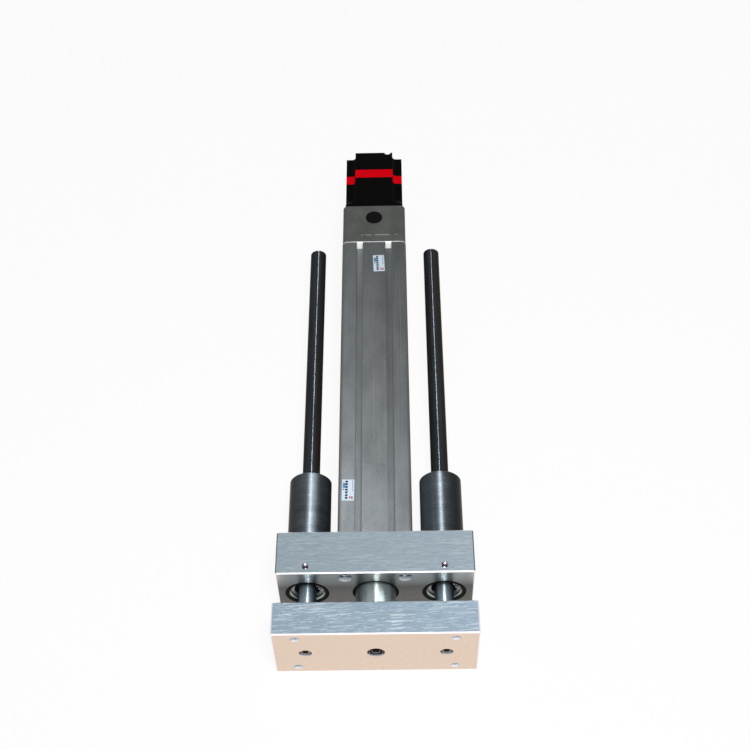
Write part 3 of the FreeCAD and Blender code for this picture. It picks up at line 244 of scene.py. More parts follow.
def bare_aluminium(name, node, top, lines, scratch, scratch_share, front, painted_side_edge, wall_reach):
    """Brushed plate stock: scored on top, ground smooth in front, where its tone is a painted reflection;
    painted glints on its edges and painted bright hole walls
    """
    half_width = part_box(node)[1].x
    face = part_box(node)[0].y
    s = Shader(name, roughness=0.34, metallic=1.0)
    nx, ny, nz = (s.axis("Normal", letter) for letter in "XYZ")
    x, y, z = (s.axis("Object", letter) for letter in "XYZ")
    fine = s.noise((90, 2400, 500), detail=4.0, turn=(0, 0, 1), rough=0.7)
    broad = s.noise((26, 2000, 60), detail=3.0, turn=(0, 0, 1))
    grain = s.weigh((fine, 0.7), (broad, 0.3))
    colour = s.blend(s.ramp(grain, 0.38, 0.62), *top)
    # Painted shade: darker to the left, lighter to the right
    colour = s.tint(colour, s.ramp(x, -half_width, half_width), *STOCK_SHADE_LEAN)
    patches = s.ramp(s.noise((18, 60, NO_GRAIN)), 0.40, 0.60, start=0.65)
    scored = s.times(s.times(scores(s, lines), patches), scratch_share)
    colour = s.blend(scored, colour, scratch)

    # The front's tones are a painted reflection: warm on the plate, darker below and lighter above on the
    # block
    dark, light, upper_reflection = front
    ground = s.blend(s.ramp(s.noise((260, 40, 260)), *SOFT), dark, light)
    ground = s.blend(s.ramp(z, *FRONT_REFLECTION_TURN), ground, upper_reflection)
    facing = s.ramp(s.ahead(), 0.80, 0.95)
    colour = s.blend(facing, colour, ground)

    def near_rim(distance, rim):
        return s.ramp(s.size_of(distance), rim - EDGE_REACH[0], rim - EDGE_REACH[1])

    at_side = near_rim(x, half_width)
    at_top = near_rim(s.math("SUBTRACT", z, AXIS_HEIGHT), AXIS_HEIGHT)
    across = s.times(s.size_of(s.times(ny, nz)), at_top)
    upright = s.times(s.size_of(s.times(nx, ny)), at_side)
    along = s.times(s.size_of(s.times(nx, nz)), at_side)
    edge = s.math("ADD", s.math("ADD", across, upright), along)
    # Painted glint: edges near the rims turn near-white
    colour = s.blend(s.ramp(edge, *EDGE_LIMITS), colour, EDGE_GLINT_COLOUR)
    # The side edges take a painted glint on the plate and a painted shade on the block
    colour = s.blend(s.ramp(along, *EDGE_LIMITS), colour, painted_side_edge)

    # Painted highlight: the upward-facing walls of holes near the front turn near-white and matt, in place
    # of their glints
    wall = s.times(s.ramp(nz, 0.1, 0.5), s.ramp(z, *WALL_TOP, 1.0, 0.0))
    wall = s.times(wall, s.ramp(y, face, face + wall_reach, 1.0, 0.0))
    s.feed("Base Color", s.blend(wall, colour, WALL_GLINT_COLOUR))
    s.feed("Metallic", s.ramp(wall, 0.0, 1.0, 1.0, 0.0))
    elsewhere = s.math("SUBTRACT", 1.0, facing)
    brushed = s.ramp(grain, *SOFT, 0.26, 0.42)
    s.feed("Roughness", s.weigh((facing, FRONT_ROUGHNESS), (elsewhere, brushed)))
    s.bump(s.times(grain, elsewhere), strength=0.12, distance=0.0002)
    return s.material


# The middle of the barrel's top slots, to either side of its axis
SLOT_PLACE = 14.6 * MM
# The barrel's tones along its length, a painted light falloff from a light front to a darker rear, and
# where each is reached, in metres
BARREL_FALLOFF_TONES = [linear(143, 149, 152), linear(108, 112, 113), linear(92, 95, 96)]
BARREL_REACHES = (0.02, 0.19, 0.36)
# Its darkest and lightest mottle, and a painted shade, its tone lighter on the left and darker on the
# right, as factors
BARREL_MOTTLE = ((0.78, 0.78, 0.78), (1.20, 1.20, 1.20))
BARREL_SHADE_LEAN = ((1.14, 1.14, 1.15), (0.79, 0.80, 0.81))
BARREL_HALF = 0.03
# How far the anodised parts' sides must face to either side for their painted shade to start and to be full
SIDE_SHADE_LIMITS = (0.35, 0.95)


def mottled(s, fine, coarse):
    """A fine mottle, and its mean with broad clouds"""
    mottle = s.noise(*fine)
    clouds = s.noise(coarse, detail=3.0)
    return mottle, s.weigh((mottle, 0.5), (clouds, 0.5))


def anodised_barrel():
    """Grey extrusion, finely mottled, with painted light and shade: lighter in front and in its slots,
    lighter on the left than on the right, darker and warmer on its sides
    """
    s = Shader("anodised_barrel", roughness=0.48, metallic=0.35, specular=0.25)
    x, y, z = (s.axis("Object", letter) for letter in "XYZ")
    # Painted light falloff: lighter in front, darker to the rear
    colour = s.blend(s.ramp(y, *BARREL_REACHES[:2]), BARREL_FALLOFF_TONES[0], BARREL_FALLOFF_TONES[1])
    colour = s.blend(s.ramp(y, *BARREL_REACHES[1:]), colour, BARREL_FALLOFF_TONES[2])
    mottle, tone = mottled(s, ((800, 450, 800), 3.0, (0, 0, 0), 0.75), (70, 26, 70))
    colour = s.tint(colour, s.ramp(tone, *FIRM), *BARREL_MOTTLE)
    # Painted shade: lighter on the left, darker on the right
    colour = s.tint(colour, s.ramp(x, -BARREL_HALF, BARREL_HALF), *BARREL_SHADE_LEAN)

    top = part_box("barrel")[1].z
    # Painted light in the slots: floors lighter than their shade leaves them, most near the rear ends, on
    # the right side of each floor and in the left slot
    slot_floor = s.times(s.ramp(z, top - MM, top - 4 * MM), s.ramp(s.axis("Normal", "Z"), 0.5, 0.9))
    painted_slot_light = s.times(slot_floor, s.ramp(y, 0.30, 0.36, 0.14, 0.40))
    painted_slot_light = s.times(painted_slot_light, s.ramp(x, -0.01, 0.01, 1.0, 0.4))
    from_slot = s.math("SUBTRACT", x, s.times(s.math("SIGN", x), SLOT_PLACE))
    painted_slot_light = s.math("ADD", painted_slot_light, s.times(slot_floor, s.ramp(from_slot, 0.5 * MM, 2.5 * MM, 0.0, 0.35)))
    colour = s.blend(painted_slot_light, colour, linear(176, 184, 188))

    drawn_lines = s.ramp(s.noise((1400, 3, 1400)), 0.62, 0.75, 0.0, 0.25)
    colour = s.blend(drawn_lines, colour, linear(176, 180, 184))
    # Painted shade: the rounded corners and sides darker and warmer
    side = s.times(s.ramp(s.size_of(s.axis("Normal", "X")), *SIDE_SHADE_LIMITS),
                   s.ramp(s.size_of(x), 24 * MM, 27 * MM))
    s.feed("Base Color", s.blend(side, colour, linear(84, 76, 70)))
    s.feed("Roughness", s.ramp(mottle, *SOFT, 0.40, 0.56))
    s.bump(mottle, strength=0.08, distance=0.0003)
    return s.material


def anodised_housing(name, bare_front):
    """Darker grey castings with a broken light line at the joint between them; a bare front is light metal,
    painted near-white and matt in place of its bright reflection
    """
    metallic = 0.3
    s = Shader(name, roughness=0.5, metallic=metallic, specular=0.2)
    mottle, tone = mottled(s, ((700, 700, 700), 3.0, (0, 0, 0), 0.7), (60, 60, 60))
    colour = s.blend(s.ramp(tone, *FIRM), linear(74, 76, 74), linear(94, 96, 94))
    # Painted shade: the sides darker and warmer
    side = s.ramp(s.size_of(s.axis("Normal", "X")), *SIDE_SHADE_LIMITS)
    colour = s.blend(side, colour, linear(66, 60, 54))

    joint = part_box("coupling_housing")[0].y
    from_joint = s.size_of(s.math("SUBTRACT", s.axis("Object", "Y"), joint))
    # A broken light line along the joint between the castings
    joint_line = s.times(s.ramp(from_joint, 0.2 * MM, 0.7 * MM, 1.0, 0.0),
                     s.ramp(s.noise((160, 20, 160), detail=3.0, rough=0.8), 0.46, 0.56, 0.0, 0.6))
    from_middle = s.size_of(s.math("SUBTRACT", s.axis("Object", "X"), 4 * MM))
    joint_line = s.times(joint_line, s.ramp(from_middle, 17 * MM, 22 * MM, 1.0, 0.0))
    colour = s.blend(joint_line, colour, linear(190, 192, 190))

    if bare_front:
        # Painted reflection: the bare front is near-white and matt in place of its bright metal reflection
        bare = s.ramp(s.ahead(), 0.45, 0.6)
        metal = s.blend(s.ramp(s.noise((900, 900, 900)), *SOFT), linear(226, 228, 228),
                        linear(252, 252, 252))
        colour = s.blend(bare, colour, metal)
        s.feed("Metallic", s.ramp(bare, 0.0, 1.0, metallic, 0.0))
    s.feed("Base Color", colour)
    s.feed("Roughness", s.ramp(mottle, *SOFT, 0.42, 0.58))
    s.bump(mottle, strength=0.08, distance=0.0003)
    return s.material


# The guide rods' radius, and where the cone in a sleeve's mouth turns from bare metal to black
ROD_RADIUS = 8 * MM
BARE_CONE = (15.1 * MM, 15.4 * MM)


def turned_black():
    """Blackened steel with turning rings, black ends and a mouth that is bare inside; a painted shade
    darkens its right flanks and warms its outer ones, and a painted reflection lightens the right sleeve's
    inner flank"""
    s = Shader("black_steel", roughness=0.3, metallic=0.6, edge=0.4)
    rings = s.noise((0, 900, 0), detail=3.0, rough=0.7)
    broad = s.noise((0, 160, 0))
    patch = s.noise((90, 60, 90))
    tone = s.weigh((rings, 0.4), (broad, 0.3), (patch, 0.3))
    colour = s.blend(s.ramp(tone, *FIRM), linear(26, 30, 33), linear(50, 57, 62))

    nx = s.axis("Normal", "X")
    x = s.axis("Object", "X")
    # Painted reflection: the right sleeve's inner flank lighter
    inner_flank_reflection = s.times(s.ramp(nx, -0.2, -0.8, 0.0, 0.3), s.ramp(x, 0.0, 10 * MM))
    colour = s.blend(inner_flank_reflection, colour, linear(92, 101, 107))
    # Painted shade: the outer flanks darker and warmer
    outer_flank_shade = s.ramp(s.times(nx, s.math("SIGN", x)), 0.3, 0.9)
    colour = s.blend(outer_flank_shade, colour, linear(30, 27, 24))
    # Painted shade: the right flanks darker, more on the right sleeve
    right_flank_shade = s.times(s.ramp(nx, 0.2, 0.7, 0.0, 0.9), s.ramp(x, -10 * MM, 10 * MM, 0.35, 1.0))
    colour = s.blend(right_flank_shade, colour, linear(10, 12, 13))

    ahead = s.ahead()
    cone = s.times(s.ramp(ahead, 0.45, 0.6), s.ramp(ahead, 0.80, 0.95, 1.0, 0.0))
    colour = s.blend(cone, colour, linear(16, 16, 14))
    across = s.math("SUBTRACT", s.size_of(x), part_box("guide_rod_right")[1].x - ROD_RADIUS)
    up = s.math("SUBTRACT", s.axis("Object", "Z"), AXIS_HEIGHT)
    from_axis = s.math("SQRT", s.math("ADD", s.times(across, across), s.times(up, up)))
    bare = s.times(cone, s.ramp(from_axis, *BARE_CONE, 1.0, 0.0))
    colour = s.blend(bare, colour, linear(164, 174, 162))
    end_face = s.ramp(s.size_of(ahead), 0.85, 0.95)
    s.feed("Base Color", s.blend(end_face, colour, linear(12, 12, 10)))
    s.feed("Roughness", s.math("ADD", s.ramp(rings, *SOFT, 0.24, 0.34), s.times(end_face, 0.3)))
    s.bump(rings, strength=0.12, distance=0.0004)
    return s.material


# Where a guide rod turns from its brighter front part, a painted reflection, to its dark one, in metres
# along it
ROD_REFLECTION_TURN = (-0.018, 0.03)
# How far the marks of round grinding stretch the rods' highlights
GRINDING = 0.85


def guide_rod_chrome():
    """Ground rods: dark where they run clear behind the block, and brighter in front of it with a painted
    reflection; painted shade on their flanks
    """
    s = Shader("guide_rod_chrome", roughness=0.14, metallic=0.8, specular=0.3, edge=0.1)
    streaks = s.noise((300, 14, 300))
    dark = s.blend(s.ramp(streaks, *SOFT), linear(20, 22, 24), linear(28, 30, 32))
    # The brighter front tones are a painted reflection
    light = s.blend(s.ramp(streaks, *SOFT), linear(72, 82, 88), linear(92, 102, 108))
    nx = s.axis("Normal", "X")
    # Painted shade: the flanks darker, the right one from further in
    side = s.math("MAXIMUM", s.ramp(s.size_of(nx), 0.6, 1.0), s.ramp(nx, 0.25, 0.75))
    dark = s.blend(side, dark, linear(28, 25, 22))
    light = s.blend(side, light, linear(36, 42, 48))
    behind = s.ramp(s.axis("Object", "Y"), *ROD_REFLECTION_TURN)
    s.feed("Base Color", s.blend(behind, light, dark))
    s.feed("Roughness", s.math("ADD", s.ramp(streaks, *SOFT, 0.10, 0.20),
                               s.ramp(behind, 0.0, 1.0, 0.20, 0.0)))
    s.ground_round(GRINDING)
    return s.material


def piston_rod_chrome():
    """Hard chrome, ground round and polished"""
    s = Shader("piston_rod_chrome", roughness=0.26, metallic=0.85)
    noise = s.noise((120, 2, 120), detail=3.0, rough=0.6)
    s.feed("Base Color", s.blend(s.ramp(noise, *SOFT), linear(117, 128, 129), linear(143, 154, 155)))
    s.feed("Roughness", s.ramp(noise, *SOFT, 0.23, 0.29))
    s.ground_round(GRINDING)
    return s.material


def plain_metal(name, dark, light, roughness, grains=(400, 400, 400)):
    """Machined metal with a fine grain in its tone and gloss"""
    s = Shader(name, roughness=roughness, metallic=1.0)
    noise = s.noise(grains, detail=3.0, rough=0.6)
    s.feed("Base Color", s.blend(s.ramp(noise, *SOFT), dark, light))
    s.feed("Roughness", s.ramp(noise, *SOFT, roughness * 0.8, roughness * 1.2))
    s.bump(noise, strength=0.05, distance=0.0002)
    return s.material


# Grains of paint, rubber, plastic and print per metre
COAT_GRAINS = (900, 900, 900)


def plain_coat(name, dark, light, roughness, specular):
    """Paint, rubber, plastic or print with a fine grain"""
    s = Shader(name, roughness=roughness, specular=specular)
    noise = s.noise(COAT_GRAINS, detail=3.0, rough=0.6)
    s.feed("Base Color", s.blend(s.ramp(noise, *SOFT), dark, light))
    s.feed("Roughness", s.ramp(noise, *SOFT, roughness * 0.88, roughness * 1.12))
    s.bump(noise, strength=0.1, distance=0.0002)
    return s.material


def motor_coat():
    """Black paint with a painted sheen that makes it greyer on the sides and the rear than on top"""
    s = Shader("motor_black", roughness=0.6, specular=0.02)
    noise = s.noise(COAT_GRAINS, detail=3.0, rough=0.6)
    colour = s.blend(s.ramp(noise, *SOFT), linear(3, 3, 3), linear(6, 6, 5))
    # Painted sheen: the sides and rear greyer than the top
    rear = s.ramp(s.axis("Normal", "Y"), 0.5, 0.9)
    side = s.ramp(s.size_of(s.axis("Normal", "X")), 0.6, 0.95)
    colour = s.blend(side, colour, linear(22, 22, 23))
    s.feed("Base Color", s.blend(rear, colour, linear(40, 40, 42)))
    s.feed("Roughness", s.ramp(noise, *SOFT, 0.53, 0.67))
    s.bump(noise, strength=0.1, distance=0.0002)
    return s.material


PLATE = bare_aluminium(
    "plate_aluminium", "front_plate", top=(linear(135, 154, 169), linear(169, 187, 202)),
    lines=PLATE_SCORES, scratch=linear(240, 252, 255), scratch_share=0.95,
    # The front tones are a painted warm reflection
    front=(linear(224, 200, 181), linear(230, 207, 187), linear(228, 205, 186)),
    # The side edge colour is a painted glint
    painted_side_edge=linear(230, 226, 230), wall_reach=2.5 * MM)
BLOCK = bare_aluminium(
    "block_aluminium", "guide_block", top=(linear(138, 153, 162), linear(164, 179, 188)),
    lines=BLOCK_SCORES, scratch=linear(216, 226, 233), scratch_share=0.60,
    # The front tones are a painted reflection, darker below and lighter above
    front=(linear(92, 90, 86), linear(100, 98, 94), linear(200, 198, 194)),
    # The side edge colour is a painted shade
    painted_side_edge=linear(86, 92, 90), wall_reach=5 * MM)
BARREL = anodised_barrel()
BEARING_HOUSING = anodised_housing("bearing_housing_grey", bare_front=True)
COUPLING_HOUSING = anodised_housing("coupling_housing_grey", bare_front=False)
SLEEVE = turned_black()
GUIDE_ROD = guide_rod_chrome()
PISTON_ROD = piston_rod_chrome()
# Plain metals: darker and lighter tone, and roughness
STEEL = plain_metal("bearing_steel", linear(176, 178, 180), linear(206, 208, 210), 0.28)
SCREW = plain_metal("screw_steel", linear(188, 190, 192), linear(222, 224, 226), 0.26)
INNER = plain_metal("inner_aluminium", linear(196, 198, 200), linear(220, 222, 224), 0.36)
RING_STEEL = plain_metal("ring_steel", linear(112, 116, 116), linear(150, 154, 154), 0.30)
HOLE_WALL = plain_metal("hole_wall", linear(196, 198, 206), linear(226, 228, 236), 0.36)
SET_SCREW_WALL = plain_metal("set_screw_wall", linear(136, 126, 144), linear(170, 160, 178), 0.30)
BRONZE = plain_metal("bronze", linear(150, 110, 60), linear(180, 134, 78), 0.42)
IRON = plain_metal("laminated_iron", linear(120, 121, 123), linear(150, 151, 152), 0.5,
                   grains=(0, 1400, 0))
DARK_SCREW = plain_metal("dark_screw_steel", linear(116, 106, 100), linear(148, 138, 132), 0.26)
BLACK_SCREW = plain_metal("black_screw_steel", linear(10, 10, 10), linear(22, 22, 22), 0.5)
# Coats: darker and lighter tone, roughness and gloss
PLASTIC = plain_coat("black_plastic", linear(24, 24, 26), linear(40, 40, 42), 0.5, 0.2)
RUBBER = plain_coat("black_rubber", linear(12, 12, 12), linear(20, 20, 20), 0.65, 0.03)
MOTOR_BLACK = motor_coat()
MOTOR_RED = plain_coat("motor_red", linear(228, 0, 20), linear(238, 3, 24), 0.5, 0.02)
PAPER = plain_coat("label_paper", linear(205, 222, 240), linear(222, 234, 246), 0.6, 0.1)
LABEL_BLUE = plain_coat("label_blue", linear(78, 136, 184), linear(100, 156, 200), 0.6, 0.1)
LABEL_DARK = plain_coat("label_dark", linear(6, 16, 26), linear(20, 32, 44), 0.6, 0.1)
LABEL_RED = plain_coat("label_red", linear(176, 80, 116), linear(196, 100, 136), 0.6, 0.1)
LABEL_PURPLE = plain_coat("label_purple", linear(116, 92, 130), linear(140, 114, 152), 0.6, 0.1)
LABEL_LOOKS = [PAPER, LABEL_BLUE, LABEL_DARK, LABEL_RED, LABEL_PURPLE]

LOOKS = {
    "brushed_aluminium": BLOCK,
    "anodised_barrel": BARREL,
    "anodised_housing": COUPLING_HOUSING,
    "black_steel": SLEEVE,
    "hard_chrome": GUIDE_ROD,
    "bearing_steel": STEEL,
    "screw_steel": SCREW,
    "inner_aluminium": INNER,
    "black_plastic": PLASTIC,
    "black_rubber": RUBBER,
    "bronze": BRONZE,
    "motor_black": MOTOR_BLACK,
    "motor_red": MOTOR_RED,
    "laminated_iron": IRON,
}
OWN_LOOKS = {
    "front_plate": PLATE,
    "bearing_housing": BEARING_HOUSING,
    "piston_rod": PISTON_ROD,
    "retaining_rings": RING_STEEL,
}


def dress_nodes():
    """Give each CAD node the look of its material slot, or its own"""
    for subpart in frame["record"]["subparts"]:
        name = subpart["node"]
        look = OWN_LOOKS.get(name, LOOKS[subpart["material_slot"]])
        data = nodes[name].data
        data.materials.clear()
        data.materials.append(look)


# Edges that turn by more degrees than this stay sharp on turned and threaded pieces
CREASE = 28


def add_mesh(name, points, faces, looks, body, face_looks=None, smooth=None):
    """A new piece in the CAD's frame that rides on one of its bodies"""
    data = bpy.data.meshes.new(name)
    data.from_pydata(points, [], faces)
    for look in looks:
        data.materials.append(look)
    if face_looks:
        data.polygons.foreach_set("material_index", face_looks)
    shell = bmesh.new()
    shell.from_mesh(data)
    bmesh.ops.recalc_face_normals(shell, faces=shell.faces)
    shell.to_mesh(data)
    shell.free()
    if smooth is not None:
        data.polygons.foreach_set("use_smooth", [True] * len(faces))
        data.set_sharp_from_angle(angle=math.radians(smooth))
    item = bpy.data.objects.new(name, data)
    scene.collection.objects.link(item)
    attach(item, body)
    return item


# Blank labels on the barrel: plain blocks as two corners in shares of width and length, and a look
LABEL_THICKNESS = 0.12 * MM
PRINT_THICKNESS = 0.03 * MM
BAR_ROWS = (0.90, 0.775, 0.645, 0.515, 0.385, 0.25, 0.125)
BAR_HALF = 0.045
DOT_ROWS = (0.95, 0.88, 0.81, 0.74, 0.67, 0.60, 0.53, 0.46)
DOT_HALF = 0.02
LABEL_BLOCKS = (
    [(0.06, 0.60, 0.27, 0.84, 1), (0.08, 0.50, 0.20, 0.55, 2)]
    + [(0.27, v - BAR_HALF, 0.47, v + BAR_HALF, 2) for v in BAR_ROWS]
    + [(0.60, 0.09, 0.72, 0.20, 3), (0.77, 0.07, 0.90, 0.20, 3)]
    + [(0.84, v - DOT_HALF, 0.91, v + DOT_HALF, 4) for v in DOT_ROWS]
)
# The faces of a box whose corners go round its bottom and then round its top
BOX_FACES = [(3, 2, 1, 0), (4, 5, 6, 7), (0, 1, 5, 4), (1, 2, 6, 5), (2, 3, 7, 6), (3, 0, 4, 7)]


def label(name, centre, width, length, turn):
    """A thin label with plain printed blocks on the barrel's top face"""
    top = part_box("barrel")[1].z
    points, faces, face_looks = [], [], []
    blocks = [(0.0, 0.0, 1.0, 1.0, 0)] + LABEL_BLOCKS
    rotation = Matrix.Rotation(math.radians(turn), 3, "Z")
    for u0, v0, u1, v1, look in blocks:
        low = top if look == 0 else top + LABEL_THICKNESS
        high = low + (LABEL_THICKNESS if look == 0 else PRINT_THICKNESS)
        first = len(points)
        for z in (low, high):
            for u, v in ((u0, v0), (u1, v0), (u1, v1), (u0, v1)):
                flat = rotation @ Vector(((u - 0.5) * width, (v - 0.5) * length, 0))
                points.append((centre[0] + flat.x, centre[1] + flat.y, z))
        faces += [tuple(first + corner for corner in face) for face in BOX_FACES]
        face_looks += [look] * len(BOX_FACES)
    add_mesh(name, points, faces, LABEL_LOOKS, "base", face_looks)


# How a local Z axis that starts at a screw's head top lies: in from the front, in from the rear, or down
FROM_FRONT = Matrix(((1, 0, 0), (0, 0, 1), (0, -1, 0)))
FROM_REAR = Matrix(((1, 0, 0), (0, 0, -1), (0, 1, 0)))
FROM_TOP = Matrix(((1, 0, 0), (0, -1, 0), (0, 0, -1)))
SIDES_ROUND = 48
RINGS_PER_PITCH = 4


def ring(height, radius, count=SIDES_ROUND):
    """Points round a local Z axis at one height; radius is a number, or a function of the angle"""
    points = []
    for step in range(count):
        angle = math.tau * step / count
        reach = radius(angle) if callable(radius) else radius
        points.append((reach * math.cos(angle), reach * math.sin(angle), height))
    return points


def hexagon(flats):
    """From the middle of a hexagon to its sides, by angle"""
    def reach(angle):
        return flats / 2 / math.cos(angle % math.radians(60) - math.radians(30))
    return reach


def knurl(radius, depth, ridges):
    """A ridged round side, by angle"""
    def reach(angle):
        return radius - depth * (0.5 - 0.5 * math.cos(ridges * angle))
    return reach


def thread(radius, depth, pitch, height):
    """A right-hand screw thread at one height, by angle"""
    def reach(angle):
        share = (height / pitch - angle / math.tau) % 1.0
        return radius - depth * abs(2 * share - 1)
    return reach


def ball_track(radius, depth, width, lead, height):
    """A screw with one round track at one height, by angle"""
    def reach(angle):
        share = (height / lead - angle / math.tau) % 1.0 - 0.5
        return radius - depth * max(0.0, 1 - (2 * share * lead / width) ** 2)
    return reach


def stack(rings):
    """A closed skin over rings of equal count, each joined to the next"""
    count = len(rings[0])
    points = [point for level in rings for point in level]
    faces = []
    for level in range(len(rings) - 1):
        low = level * count
        for step in range(count):
            after = (step + 1) % count
            faces.append((low + step, low + after, low + count + after, low + count + step))
    faces.append(tuple(reversed(range(count))))
    faces.append(tuple(range(len(points) - count, len(points))))
    return points, faces


def hoop(profile, count=SIDES_ROUND):
    """A closed ring round a local Z axis, from a profile of radius and height"""
    points = []
    for radius, height in profile:
        points += ring(height, radius, count)
    faces = []
    for level in range(len(profile)):
        low = level * count
        high = (level + 1) % len(profile) * count
        for step in range(count):
            after = (step + 1) % count
            faces.append((low + step, low + after, high + after, high + step))
    return points, faces


# A thread's ridge in a hole: how far its root lies in the wall, half its width in shares of the
# pitch, and its sections in one turn
RIDGE_SINK = 0.03 * MM
RIDGE_HALF = 0.4
RIDGE_STEPS = 24


def coil_ridge(radius, height, pitch, length):
    """A helical ridge on the wall of a tapped hole, along a local Z axis"""
    root = radius + RIDGE_SINK
    half = RIDGE_HALF * pitch
    points, faces = [], []
    for step in range(int(length / pitch * RIDGE_STEPS) + 1):
        angle = math.tau * step / RIDGE_STEPS
        along = pitch * step / RIDGE_STEPS
        for reach, shift in ((root, -half), (radius - height, 0.0), (root, half)):
            points.append((reach * math.cos(angle), reach * math.sin(angle), along + shift))
        if step:
            last = 3 * (step - 1)
            for first, second in ((0, 1), (1, 2), (2, 0)):
                faces.append((last + first, last + second, last + 3 + second, last + 3 + first))
    faces.append((0, 1, 2))
    faces.append((len(points) - 1, len(points) - 2, len(points) - 3))
    return points, faces


def placed(shape, turn, places):
    """Copies of one shape at several places, as one list of points and one of faces"""
    points, faces = [], []
    for place in places:
        first = len(points)
        points += [Vector(place) + turn @ Vector(point) for point in shape[0]]
        faces += [tuple(first + corner for corner in face) for face in shape[1]]
    return points, faces


# Socket head screws in millimetres: thread, head diameter, head height, socket width, thread pitch
SCREW_KINDS = {
    "large": (8, 13, 8, 6, 1.25),
    "medium": (6, 10, 6, 5, 1.0),
    "flange": (5, 8.5, 5, 4, 0.8),
    "small": (4, 7, 4, 3, 0.7),
    "fine": (3, 5.5, 3, 2.5, 0.5),
}
# Each node of screws: its kind, how it lies, its finish and its body
SCREW_NODES = {
    "rod_end_screw": ("large", FROM_FRONT, DARK_SCREW, "carriage"),
    "guide_rod_screws": ("medium", FROM_FRONT, DARK_SCREW, "carriage"),
    "block_screws": ("medium", FROM_FRONT, SCREW, "base"),
    "housing_screws": ("medium", FROM_REAR, SCREW, "base"),
    "nut_screws": ("fine", FROM_REAR, SCREW, "carriage"),
    "coupling_housing_screws": ("small", FROM_REAR, SCREW, "base"),
    "motor_screws": ("flange", FROM_REAR, BLACK_SCREW, "base"),
    "motor_cover_screws": ("fine", FROM_REAR, BLACK_SCREW, "base"),
}
# A thread's depth in shares of its pitch, its length in diameters, and its chamfer's depth in threads
THREAD_DEPTH = 0.6
THREAD_REACH = 3
POINT_DEPTH = 1.1
# The least plain shank under a head
SHANK_LEAST = 0.5 * MM
# A head's rounded top, in shares of its diameter: how far down, and how far inside its side
HEAD_RIM = ((0.0, 0.09), (0.02, 0.04), (0.07, 0.012))
# Its knurl: rings in shares of the head's height, first ring and depth in shares of its diameter
KNURL_RINGS = (0.09, 0.3, 0.6, 0.92)
KNURL_START = 0.075
KNURL_DEPTH = 0.016
# Its foot: how far down in shares of its height, and how far inside its side
HEAD_FOOT = ((0.97, 0.02), (1.0, 0.04))
# The fillet under it, in shares of its diameter
HEAD_FILLET = 0.03
# A hexagon socket in shares of its width: depth and radius of its drill point, chamfer and mouth radius
SOCKET_POINT = (0.12, 0.03)
SOCKET_CHAMFER = 0.06
SOCKET_MOUTH = 0.62
# A set screw's cup point, in shares of its diameter: how deep, and radius
CUP_POINT = ((0.0, 0.34), (0.0, 0.26), (0.12, 0.05))


def thread_rings(radius, pitch, start, end):
    """Rings of a thread that grows to its full depth over its first turn"""
    steps = int((end - start) / pitch * RINGS_PER_PITCH)
    rings = []
    for step in range(1, steps):
        height = start + (end - start) * step / steps
        depth = THREAD_DEPTH * pitch * min(1.0, step / RINGS_PER_PITCH)
        rings.append(ring(height, thread(radius, depth, pitch, height)))
    return rings


def socket_rings(flats, depth):
    """Rings of a hexagon socket from its drilled bottom up to its mouth"""
    point_depth, point_radius = SOCKET_POINT
    return [
        ring(depth + point_depth * flats, point_radius * flats),
        ring(depth, hexagon(flats)),
        ring(SOCKET_CHAMFER * flats, hexagon(flats)),
        ring(0.0, SOCKET_MOUTH * flats),
    ]


def socket_screw(kind, length):
    """A cap screw: hexagon socket, knurled head, plain shank and thread"""
    diameter, head, head_height, flats, pitch = (size * MM for size in SCREW_KINDS[kind])
    shank = diameter / 2
    start = max(head_height + SHANK_LEAST, length - THREAD_REACH * diameter)
    end = length - 0.5 * pitch
    rings = socket_rings(flats, head_height / 2)
    rings += [ring(down * head, head / 2 - inside * head) for down, inside in HEAD_RIM]
    knurled = knurl(head / 2, KNURL_DEPTH * head, SIDES_ROUND // 2)
    rings += [ring(max(share * head_height, KNURL_START * head), knurled) for share in KNURL_RINGS]
    rings += [ring(down * head_height, head / 2 - inside * head) for down, inside in HEAD_FOOT]
    rings += [
        ring(head_height, shank + HEAD_FILLET * head),
        ring(head_height + HEAD_FILLET * head, shank),
        ring(start, shank),
    ]
    rings += thread_rings(shank, pitch, start, end)
    rings.append(ring(end, shank - THREAD_DEPTH * pitch))
    rings.append(ring(length, shank - POINT_DEPTH * THREAD_DEPTH * pitch))
    return stack(rings)


def screws(node):
    """Detailed screws in place of a node of plain ones"""
    kind, lie, look, body = SCREW_NODES[node]
    low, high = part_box(node)
    head = SCREW_KINDS[kind][1] * MM / 2
    across = high.x - head
    up = high.z - AXIS_HEIGHT - head
    top = low.y if lie is FROM_FRONT else high.y
    spots = sorted({(round(i * across, 6), round(k * up, 6)) for i in (-1, 1) for k in (-1, 1)})
    places = [(x, top, AXIS_HEIGHT + z) for x, z in spots]
    points, faces = placed(socket_screw(kind, high.y - low.y), lie, places)
    piece = add_mesh(f"{node}_detailed", points, faces, [look], body, smooth=CREASE)
    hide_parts(node)


def headless_screw(diameter, flats, pitch, length):
    """A set screw: hexagon socket, thread and cup point"""
    radius = diameter / 2
    rings = socket_rings(flats, length / 2)
    rings.append(ring(0.0, radius - POINT_DEPTH * THREAD_DEPTH * pitch))
    rings.append(ring(0.4 * pitch, radius - 0.5 * THREAD_DEPTH * pitch))
    rings += thread_rings(radius, pitch, 0.5 * pitch, length - 0.8 * pitch)
    rings += [ring(length - depth * diameter, reach * diameter) for depth, reach in CUP_POINT]
    return stack(rings)


